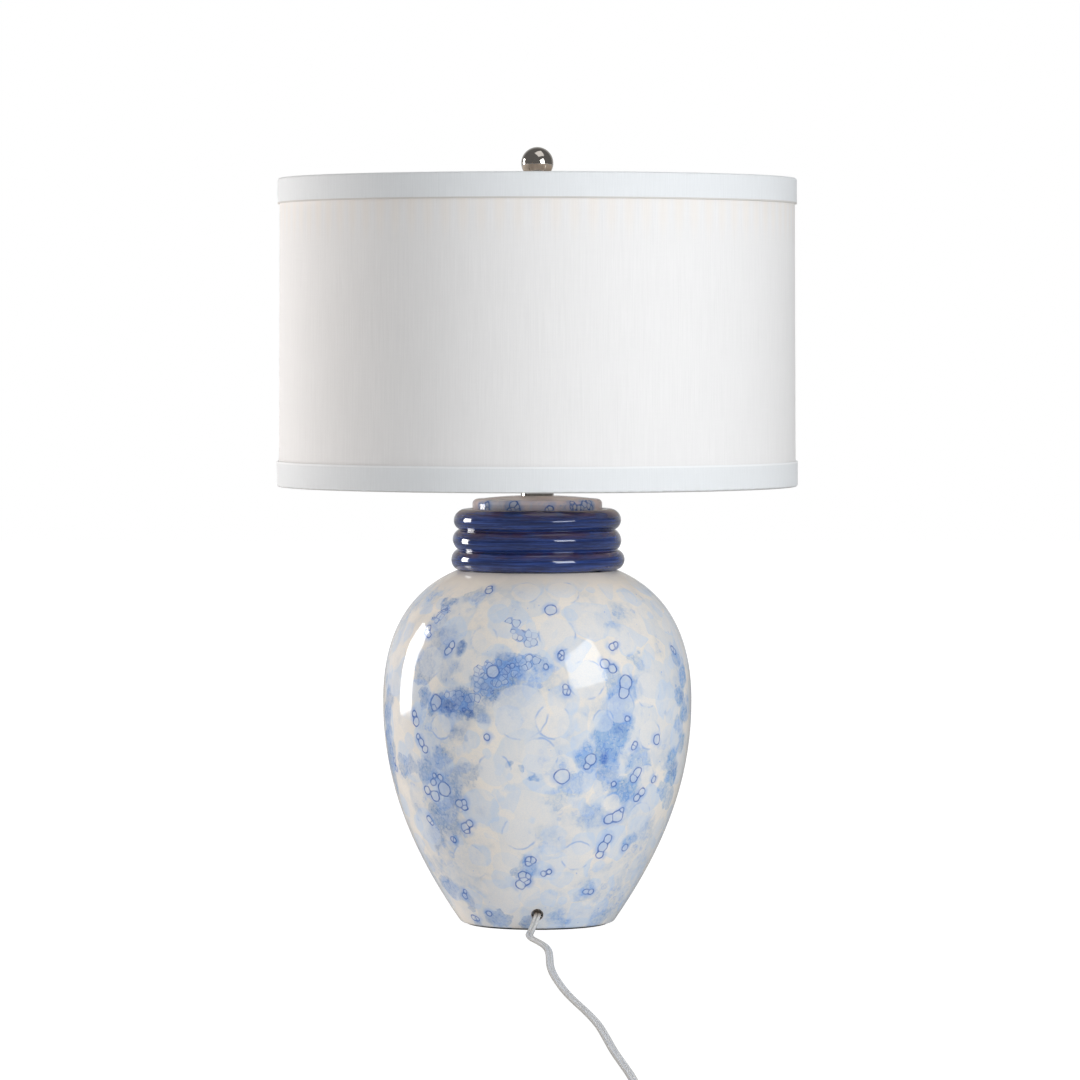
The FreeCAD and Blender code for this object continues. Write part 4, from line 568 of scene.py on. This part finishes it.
def torn_stain(p, where, bend, washes, share):
    """The washes run together: scalloped by bubbles, here with a dark edge and there fading out."""
    deep = wash_depth(p, p.bent(where, bend, 26.0), washes)
    bubble = p.cells(p.bent(where, bend, 6.0), 15)["Distance"]
    fray = p.noise(where, 0.11, 4, 0.65)[0]
    frayed = p.math("MULTIPLY_ADD", fray, 0.5, p.math("SUBTRACT", deep, 0.07))
    deep = p.math("MULTIPLY_ADD", bubble, -0.42, frayed, clamp=True)
    soft = p.step(p.noise(where, 0.021, 2)[0], 0.38, 0.56)
    body = p.times(deep, p.math("MAXIMUM", soft, p.step(deep, 0.2, 0.36)))
    edge = p.band(p.math("ABSOLUTE", p.math("SUBTRACT", deep, 0.34)), 0.0, 0.1, 0.2)
    body = p.math("MULTIPLY_ADD", edge, p.math("SUBTRACT", 1.0, soft), body)
    return p.math("MULTIPLY", body, share, clamp=True)


def dyed(p, front, base, bend, seam, mottle, flow, washes, pools):
    """The base darkened by whole bubbles of dye, by torn stains with lace in them and by dark pools."""
    # Towards -X on the front the dye turns greyer: partly the glaze's own tone, partly painted shade on the
    # dimmer side.
    dye = p.mix(p.step(p.split(front)[0], -40, 15), GREY_DYE_AND_SHADE, DYE)
    colour = dyed_discs(p, front, base, dye, washes, seam)
    stain = torn_stain(p, front, bend, washes, p.times(seam, p.step(mottle, 0.28, 0.66, 0.65, 1.3)))
    colour = p.mix(stain, colour, dye, "MULTIPLY")
    net = p.cells(p.bent(front, bend, 5.0), 5, "DISTANCE_TO_EDGE")["Distance"]
    lace = p.times(p.band(net, 0.02, 0.12), p.step(flow, 0.42, 0.58, 0.0, 0.8))
    colour = p.mix(p.times(lace, stain), colour, dye, "MULTIPLY")
    if pools:
        pool = wash_depth(p, p.bent(front, bend, 14.0), pools)
        pool = p.times(pool, p.times(seam, p.step(mottle, 0.3, 0.6, 0.5, 1.0)))
        colour = p.mix(pool, colour, POOL_DYE, "MULTIPLY")
    return colour


def placed_discs(p, where, base, discs):
    """The big pale discs where the photograph shows them, with thin broken rims."""
    colour = base
    rims = 0.0
    for px, py, radius, pale in discs:
        away = p.vector("DISTANCE", where, surface_point(px, py))
        inside = p.math("MULTIPLY_ADD", away, -0.8, radius * 0.8, clamp=True)
        tone = tuple(blue + (cream - blue) * pale for blue, cream in zip(PALE_BLUE, CREAM))
        colour = p.mix(p.times(inside, 0.48), colour, tone)
        gap = p.math("ABSOLUTE", p.math("SUBTRACT", away, radius))
        rims = p.math("MAXIMUM", rims, p.math("MULTIPLY_ADD", gap, -0.8, 1.0, clamp=True))
    broken = p.step(p.noise(p.place, 0.06, 3)[0], 0.5, 0.66, 0.0, 0.7)
    return p.mix(p.times(rims, broken), colour, CORNFLOWER)


def small_bubbles(p, where, base, circles):
    """Bubbles that share walls: fine dark lines, a pale inside and a little blue round them."""
    far = 60.0
    merge = 4.2
    first = second = skin = far
    for centre, radius in circles:
        gap = p.math("SUBTRACT", p.vector("DISTANCE", where, centre), radius)
        second = p.math("MINIMUM", second, p.math("MAXIMUM", first, gap))
        first = p.math("MINIMUM", first, gap)
        skin = p.math("SMOOTH_MIN", skin, gap, merge)
    outline = p.band(p.math("ABSOLUTE", skin), 0.15, 1.05)
    wall = p.band(p.math("SUBTRACT", second, first), 0.2, 1.4)
    inside = p.band(skin, -0.4, 0.1)
    line = p.math("MAXIMUM", outline, p.times(wall, inside))
    patchy = p.step(p.noise(p.place, 0.16, 3)[0], 0.32, 0.62, 0.58, 0.98)
    halo = p.times(p.band(skin, 0.0, 5.5), p.step(p.noise(p.place, 0.09)[0], 0.35, 0.6))
    colour = p.mix(p.times(halo, 0.55), base, CORNFLOWER)
    colour = p.mix(p.times(inside, 0.5), colour, BUBBLE_INSIDE)
    return p.mix(p.times(line, patchy), colour, DEEP_BLUE)


def foam_cells(p, where, base, spots):
    """Whole round cells of a fine foam wherever their middles lie inside one of the spots."""
    cells = p.cells(where, FOAM_CELL)
    wall = p.cells(where, FOAM_CELL, "DISTANCE_TO_EDGE")["Distance"]
    chosen = 0.0
    for px, py, reach in spots:
        away = p.vector("DISTANCE", cells["Position"], surface_point(px, py))
        chosen = p.math("MAXIMUM", chosen, p.math("LESS_THAN", away, reach))
    red = p.channels(cells["Color"])[0]
    gap = p.math("SUBTRACT", p.math("MULTIPLY_ADD", red, 0.2, 0.52), cells["Distance"])
    ring = p.band(p.math("ABSOLUTE", gap), 0.02, 0.085)
    line = p.math("MAXIMUM", ring, p.times(p.band(wall, 0.02, 0.09), p.step(gap, -0.02, 0.02)))
    patchy = p.step(p.noise(p.place, 0.1, 2)[0], 0.32, 0.58, 0.3, 0.8)
    colour = p.mix(p.times(p.step(gap, -0.06, 0.0, 1.0, 0.3), chosen, 0.6), base, CORNFLOWER)
    colour = p.mix(p.times(p.step(gap, 0.0, 0.05), chosen, 0.25), colour, PALE_BLUE)
    return p.mix(p.times(line, chosen, patchy), colour, DEEP_BLUE)


def bare_cord_hole(p, base):
    """Bare clay inside the cord's hole, where no glaze ran."""
    x, y, z = p.split(p.place)
    away = p.vector("LENGTH", p.joined(x, 0.0, p.math("SUBTRACT", z, CORD_HOLE_Z)))
    bare = p.band(away, CORD_HOLE_RADIUS - 0.1, CORD_HOLE_RADIUS + 0.4)
    return p.mix(p.times(bare, p.math("LESS_THAN", y, 0.0)), base, BARE_CLAY)


def make_glaze(name, ground, share, washes, pools, discs, bubbles, foam):
    """Cream glaze printed with many see-through blue bubbles, from broad washes to fine foam."""
    p = Paint(name)
    bend = p.wander(0.05, 3)
    where = p.bent(p.place, bend, 9.0)
    front = folded(p)
    _, y, z = p.split(p.place)
    calm = p.step(z, FADE_START, FADE_END, share, FADED * share) if foam else share
    seam = p.times(p.step(p.math("ABSOLUTE", y), 4, 22), calm)
    cloud = p.noise(where, 0.019, 4, 0.62)[0]
    mottle = p.noise(p.place, 0.35, 4, 0.65)[0]
    flow = p.noise(p.scaled(p.place, 1.0, 1.0, 0.28), 0.3, 3, 0.6)[0]
    haze = p.times(p.step(cloud, 0.5, 0.68, 0.0, 0.55), calm)
    thin = p.times(calm, p.step(flow, 0.3, 0.65, 0.72, 1.0))

    colour = p.mix(p.step(cloud, 0.3, 0.7), ground, tuple(0.93 * part for part in ground))
    colour = scattered_discs(p, where, 44, (11, 7, 3), GREY_BLUE, colour, p.times(thin, 0.7))
    colour = scattered_discs(p, where, 33, (53, 21, 9), PALE_BLUE, colour, p.times(thin, 0.72))
    colour = scattered_discs(p, where, 29, (5, 91, 37), ground, colour, 0.6, low=0.2, rim=0.0)
    colour = scattered_discs(p, where, 23, (71, 9, 57), PALE_BLUE, colour, p.times(thin, 0.55), low=0.2)
    colour = p.mix(p.times(haze, p.step(mottle, 0.32, 0.62, 0.3, 0.8)), colour, DYE, "MULTIPLY")
    if washes:
        colour = dyed(p, front, colour, bend, seam, mottle, flow, washes, pools)
    fine = p.times(haze, p.step(mottle, 0.4, 0.6, 0.3, 1.0))
    colour = scattered_discs(p, where, 9, (3, 57, 29), CORNFLOWER, colour, fine, low=0.14)
    if discs:
        colour = placed_discs(p, front, colour, discs)
    if foam:
        colour = foam_cells(p, front, colour, foam)
    if bubbles:
        colour = small_bubbles(p, front, colour, bubble_circles(bubbles))
    dot = p.times(p.band(p.cells(where, 11)["Distance"], 0.045, 0.085), p.step(cloud, 0.42, 0.56, 0.0, 0.7))
    colour = p.mix(p.times(dot, calm), colour, CORNFLOWER)
    grain = p.step(p.noise(p.place, 0.8, 3, 0.7)[0], 0.35, 0.7, 0.0, 0.2)
    colour = p.mix(p.times(grain, calm), colour, GRAIN_BLUE)
    return p.finish(
        Base_Color=bare_cord_hole(p, colour),
        Roughness=p.step(p.noise(p.place, 0.3)[0], 0.3, 0.7, 0.06, 0.09),
        Specular_IOR_Level=0.3,
        Normal=p.bump(p.noise(p.place, 0.035, 2)[0], 0.5, 0.25),
    )


def make_navy_glaze():
    """Glossy navy glaze brushed on in level strokes, worn to maroon where it ran thin, with painted shade in
    the grooves between the rings.
    """
    p = Paint("navy_glaze")
    flat = p.around(75.0)
    strokes = p.noise(p.scaled(flat, 0.02, 0.55, 1.0), 1.0, 4, 0.6)[0]
    fine = p.noise(p.scaled(flat, 0.1, 2.2, 1.0), 1.0, 3, 0.6)[0]
    patch = p.noise(p.place, 0.05, 2)[0]
    colour = p.mix(p.step(strokes, 0.35, 0.75), NAVY, NAVY_STROKE)
    colour = p.mix(p.step(fine, 0.5, 0.8, 0.0, 0.4), colour, NAVY_STREAK)
    z = p.split(p.place)[2]
    rise = p.math("FRACT", p.math("MULTIPLY_ADD", z, 1 / RING_HEIGHT, -LEDGE_TOP / RING_HEIGHT))
    crest = p.times(p.step(rise, 0.6, 0.84), p.step(patch, 0.36, 0.6))
    colour = p.mix(p.times(crest, 0.6), colour, MAROON)
    # Painted shade: the navy darkens in the grooves between the rings.
    groove_shade = p.band(p.from_axis(), 68.5, 71.5)
    colour = p.mix(p.times(groove_shade, 0.5), colour, GROOVE_SHADE_NAVY)
    return p.finish(
        Base_Color=colour,
        Roughness=p.step(fine, 0.3, 0.8, 0.05, 0.16),
        Coat_Weight=0.6,
        Coat_Roughness=0.03,
        Normal=p.bump(p.noise(p.place, 0.06, 2)[0], 0.5, 0.4),
    )


def make_nickel():
    """Polished nickel, a little warm, with faint wipe marks."""
    p = Paint("nickel")
    marks = p.noise(p.scaled(p.place, 0.3, 0.3, 2.5), 1.0, 4, 0.6)[0]
    return p.finish(
        Base_Color=p.mix(p.step(marks, 0.3, 0.7), (0.62, 0.57, 0.52), (0.70, 0.655, 0.60)),
        Metallic=1.0,
        Roughness=p.step(marks, 0.3, 0.8, 0.05, 0.12),
    )


def make_metal(name, dark, light, roughness, grain):
    """Plain metal with a drawn or cast grain."""
    p = Paint(name)
    marks = p.noise(p.scaled(p.place, *grain), 1.0, 4, 0.6)[0]
    return p.finish(
        Base_Color=p.mix(p.step(marks, 0.3, 0.7), dark, light),
        Metallic=1.0,
        Roughness=p.step(marks, 0.25, 0.8, roughness - 0.08, roughness + 0.1),
        Normal=p.bump(marks, 0.04, 0.4),
    )


def make_shade_fabric(name, radius, trim):
    """Off-white slubbed cloth: upright threads with thicker slubs, finer level threads between them."""
    p = Paint(name)
    flat = p.around(radius)
    threads = p.noise(p.scaled(flat, 0.9, 0.02, 1.0), 1.0, 3, 0.7)[0]
    slubs = p.noise(p.scaled(flat, 0.45, 0.012, 1.0), 1.0, 2, 0.5)[0]
    level = p.noise(p.scaled(flat, 0.03, 1.3, 1.0), 1.0, 2, 0.6)[0]
    warp = p.add("TexWave", {"Vector": flat, "Scale": 0.42, "Distortion": 0.6, "Detail": 2.0}).outputs[1]
    tint = TRIM_TINT if trim else CLOTH_TINT
    dark, light, thick, across = (tuple(bright * part for part in tint) for bright in THREAD_LEVELS)
    colour = p.mix(p.step(threads, 0.35, 0.7), dark, light)
    colour = p.mix(p.step(slubs, 0.58, 0.72, 0.0, 0.3), colour, thick)
    colour = p.mix(p.step(level, 0.4, 0.7, 0.0, 0.16), colour, across)
    if trim:
        z = p.split(p.place)[2]
        # On the bands: a painted highlight on the lower band's top edge, and two thin darker lines.
        for height, half, tone in BAND_HIGHLIGHT_AND_LINES:
            off = p.math("ABSOLUTE", p.math("SUBTRACT", z, height))
            colour = p.mix(p.band(off, 0.4 * half, half, 0.8), colour, tone)
    else:
        colour = p.mix(p.band(p.from_axis(), radius - 0.75, radius - 0.45), colour, LINING)
    height = p.math("ADD", p.times(warp, 0.35), p.math("ADD", threads, level))
    return p.finish(
        Base_Color=colour,
        Roughness=0.92,
        Sheen_Weight=0.25,
        Sheen_Roughness=0.5,
        Normal=p.bump(height, 0.12, 0.25 if trim else 0.3),
    )


def make_felt():
    """Black felt with short loose fibres."""
    p = Paint("felt")
    fibres = p.noise(p.place, 1.5, 5, 0.7)[0]
    return p.finish(
        Base_Color=p.mix(p.step(fibres, 0.3, 0.7), (0.015, 0.015, 0.017), (0.05, 0.05, 0.055)),
        Roughness=0.95,
        Sheen_Weight=0.4,
        Normal=p.bump(fibres, 0.4, 0.8),
    )


def make_plastic(name, dark, light, roughness):
    """Moulded plastic with a faint texture."""
    p = Paint(name)
    marks = p.noise(p.place, 0.8, 3)[0]
    return p.finish(
        Base_Color=p.mix(p.step(marks, 0.3, 0.7), dark, light),
        Roughness=p.step(marks, 0.2, 0.8, roughness - 0.06, roughness + 0.08),
        Normal=p.bump(marks, 0.05, 0.3),
    )


def make_card():
    """Dark pressed card with upright fibres."""
    p = Paint("card")
    fibres = p.noise(p.scaled(p.place, 1.0, 1.0, 0.3), 1.0, 5, 0.7)[0]
    return p.finish(
        Base_Color=p.mix(p.step(fibres, 0.3, 0.7), (0.03, 0.028, 0.024), (0.07, 0.065, 0.055)),
        Roughness=0.9,
        Normal=p.bump(fibres, 0.1, 0.5),
    )


def make_bulb_glass():
    """Glass frosted white inside."""
    p = Paint("bulb_glass")
    cloud = p.noise(p.place, 0.08, 3)[0]
    return p.finish(
        Base_Color=p.mix(p.step(cloud, 0.3, 0.7), (0.86, 0.86, 0.85), (0.92, 0.92, 0.91)),
        Roughness=p.step(cloud, 0.3, 0.7, 0.16, 0.22),
        Coat_Weight=0.5,
    )


def make_cord_plastic():
    """Clear cord sleeve over tinned strands."""
    p = Paint("clear_cord")
    cloud = p.noise(p.place, 0.4, 3)[0]
    lay = p.add("TexWave", {"Vector": p.place, "Scale": 0.32, "Distortion": 1.5, "Detail": 1.0}).outputs[1]
    colour = p.mix(p.step(cloud, 0.3, 0.7), (0.64, 0.61, 0.57), (0.76, 0.735, 0.70))
    return p.finish(
        Base_Color=p.mix(p.times(lay, 0.12), colour, (0.48, 0.46, 0.43)),
        Roughness=p.step(cloud, 0.3, 0.7, 0.14, 0.24),
        Transmission_Weight=0.25,
        IOR=1.5,
        Normal=p.bump(p.math("ADD", cloud, lay), 0.12, 0.3),
    )


def make_tie():
    """White paper over a thin wire."""
    p = Paint("tie_paper")
    fibres = p.noise(p.place, 1.6, 4, 0.7)[0]
    return p.finish(
        Base_Color=p.mix(p.step(fibres, 0.3, 0.7), (0.78, 0.77, 0.74), (0.88, 0.875, 0.85)),
        Roughness=0.7,
        Normal=p.bump(fibres, 0.1, 0.4),
    )


def mesh_piece(name, points, faces, smooth):
    """A mesh object with these points, in millimetres."""
    data = bpy.data.meshes.new(name)
    data.from_pydata([Vector(point) * MM for point in points], [], faces)
    data.validate()
    data.update()
    data.polygons.foreach_set("use_smooth", [smooth] * len(data.polygons))
    return link(bpy.data.objects.new(name, data))


def lathe(name, outline, count, shape):
    """A closed outline turned round Z; shape moves a point (radius, height) by its angle."""
    points = []
    for i in range(count):
        angle = 2 * math.pi * i / count
        for place in outline:
            radius, height = shape(*place, angle)
            points.append((radius * math.cos(angle), radius * math.sin(angle), height))
    rows = len(outline)
    faces = []
    for i in range(count):
        j = (i + 1) % count
        for k in range(rows):
            m = (k + 1) % rows
            faces.append((i * rows + k, j * rows + k, j * rows + m, i * rows + m))
    return mesh_piece(name, points, faces, smooth=True)


def arc_points(start, through, end, count):
    """Points on the arc through three points, without its end."""
    (ax, ay), (bx, by), (cx, cy) = start, through, end
    a, b, c = ax * ax + ay * ay, bx * bx + by * by, cx * cx + cy * cy
    d = 2 * (ax * (by - cy) + bx * (cy - ay) + cx * (ay - by))
    ux = (a * (by - cy) + b * (cy - ay) + c * (ay - by)) / d
    uy = (a * (cx - bx) + b * (ax - cx) + c * (bx - ax)) / d
    first = math.atan2(ay - uy, ax - ux)
    middle = (math.atan2(by - uy, bx - ux) - first) % (2 * math.pi)
    last = (math.atan2(cy - uy, cx - ux) - first) % (2 * math.pi)
    if middle > last:
        last -= 2 * math.pi
    radius = math.hypot(ax - ux, ay - uy)
    angles = [first + last * i / count for i in range(count)]
    return [(ux + radius * math.cos(angle), uy + radius * math.sin(angle)) for angle in angles]


def make_collar():
    """The three glazed rings, rolled by hand: their height and width wander a little round the neck."""
    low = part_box("ring_collar")[0].z / MM + 0.05
    tall = len(RINGS) * RING_HEIGHT
    outline = [(radius, low) for radius in (COLLAR_BORE, 60.0, 64.0, RINGS[0][0])]
    for index, (foot, crest, top, count) in enumerate(RINGS):
        base = low + index * RING_HEIGHT
        outline += arc_points((foot, base), (crest, base + RING_HEIGHT / 2), (top, base + RING_HEIGHT), count)
    outline += [(RINGS[-1][2], low + tall), (62.0, low + tall), (COLLAR_BORE, low + tall - 0.5)]

    def uneven(radius, height, angle):
        out = min(max((radius - 62) / 8, 0), 1)
        level = (height - low) / tall
        lift = 0.55 * math.sin(angle * 2 + 5 * level) + 0.35 * math.sin(angle * 3 + 2 - 7 * level)
        swell = 0.35 * math.sin(angle * 3 + 9 * level) + 0.25 * math.sin(angle * 5 + 1 + 4 * level)
        free = min(max(level * 6, 0), 1) * 0.9
        chip = 1.1 * math.exp(-((angle - 5.57) / 0.09) ** 2) * math.exp(-level * 14)
        return radius + (swell - 0.3) * out, height + lift * out * free + chip

    return lathe("collar_rings", outline, COLLAR_SIDES, uneven)


def make_floor():
    """A plain pale floor that reads as white, keeps a faint shadow under the lamp and is dim to gloss."""
    points = [(-6000, -6000, 0), (6000, -6000, 0), (6000, 9000, 0), (-6000, 9000, 0)]
    floor = mesh_piece("floor", points, [(0, 1, 2, 3)], smooth=False)
    p = Paint("floor")
    material = p.finish(
        Base_Color=(0.9, 0.9, 0.9),
        Roughness=0.9,
        Specular_IOR_Level=0.0,
        Emission_Color=WHITE,
        Emission_Strength=0.1,
    )
    rays = p.add("LightPath").outputs
    dim = p.add("Emission", {"Strength": 0.3}).outputs[0]
    lit = p.add("MixShader", {0: rays["Is Glossy Ray"], 1: p.shader.outputs[0], 2: dim}).outputs[0]
    glow = p.add("Emission", {"Color": WHITE, "Strength": 1.12}).outputs[0]
    share = p.times(rays["Is Camera Ray"], p.step(p.vector("LENGTH", p.place), 500, 2200, 0.85, 1.0))
    seen = p.add("MixShader", {0: share, 1: lit, 2: glow}).outputs[0]
    p.put(p.nodes["Material Output"].inputs["Surface"], seen)
    paint(material, floor)


def make_world():
    """White to the camera; to gloss a studio that is pale behind the lamp and dim in front of it."""
    world = bpy.data.worlds.new("studio")
    bpy.context.scene.world = world
    world.use_nodes = True
    kit = NodeKit(world.node_tree)
    behind = kit.split(kit.add("TexCoord").outputs["Generated"])[1]
    rays = kit.add("LightPath").outputs
    strength = kit.choose(rays["Is Glossy Ray"], 0.23, kit.step(behind, 0.5, 0.98, 0.14, 0.5))
    background = kit.nodes["Background"]
    kit.put(background.inputs["Color"], WHITE)
    kit.put(background.inputs["Strength"], kit.choose(rays["Is Camera Ray"], strength, 1.0))


# Lamps: place, what they face, width, height, power and colour.
AIM = (0, 0, 0.33)
LAMPS = {
    "strip_left": ((-2.02318, 0.85879, 0.34596), AIM, 0.6, 2.0, 53, (1.0, 0.975, 0.955)),
    "window_right": ((1.44, -2.16, 1.12), (-0.97, -1.85, 0.34), 1.81, 1.2, 51, (0.93, 0.97, 1.0)),
    "top": ((0.5, -0.6, 2.6), AIM, 1.6, 1.6, 6.5, WHITE),
}


def make_lamps():
    for name, (place, target, width, height, power, colour) in LAMPS.items():
        data = bpy.data.lights.new(name, "AREA")
        data.shape = "RECTANGLE"
        data.size = width
        data.size_y = height
        data.energy = power
        data.color = colour
        light = link(bpy.data.objects.new(name, data))
        light.location = place
        light.rotation_euler = (Vector(target) - Vector(place)).to_track_quat("-Z", "Y").to_euler()


def dress_jar():
    """Glazes the jar and its lid, and puts the hand-rolled rings on its neck."""
    jar_marks = (WASHES, POOLS, DISCS, BUBBLES, FOAM)
    lid_marks = (LID_WASHES, (), (), LID_BUBBLES, ())
    paint(make_glaze("patterned_glaze", CREAM, 1.0, *jar_marks), *JAR_NODES)
    paint(make_glaze("lid_glaze", MAUVE, 0.6, *lid_marks), "jar_lid")
    collar = make_collar()
    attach(collar, "lamp_base")
    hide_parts("ring_collar")
    paint(make_navy_glaze(), collar)


def dress_fittings():
    """Gives the metal, the shade, the socket, the bulb, the felt and the tie their materials."""
    paint(make_nickel(), *NICKEL_NODES)
    for name, (*look, names) in METALS.items():
        paint(make_metal(name, *look), *names)
    paint(make_shade_fabric("shade_fabric", PANEL_RADIUS, False), "shade_panel")
    paint(make_shade_fabric("trim_fabric", TRIM_RADIUS, True), "shade_top_trim", "shade_bottom_trim")
    paint(make_card(), "socket_liner")
    phenolic = make_plastic("black_phenolic", (0.012, 0.012, 0.012), (0.03, 0.03, 0.03), 0.3)
    paint(phenolic, "socket_insulator", "switch_knob")
    paint(make_felt(), "base_felt")
    paint(make_bulb_glass(), "bulb_glass")
    paint(make_tie(), "cord_tie")


def dress_cord():
    """Lays the flat free cord in place of the round solids, and finishes the plug."""
    clear = make_cord_plastic()
    paint(clear, "cord_inside")
    paint(make_plastic("clear_plug", (0.66, 0.655, 0.64), (0.78, 0.775, 0.76), 0.22), "plug_body")
    profile = profile_curve("cord_profile", cord_outline())
    flex = swept_curve("free_cord", (*CORD_ROUTE, *coil_points(), *PLUG_LEAD), profile)
    paint(clear, flex)
    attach(flex, "lamp_base")
    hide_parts("cord_run", "cord_coil")


make_camera()
dress_jar()
dress_fittings()
dress_cord()
make_floor()
make_world()
make_lamps()
bpy.context.scene.view_settings.view_transform = "Standard"
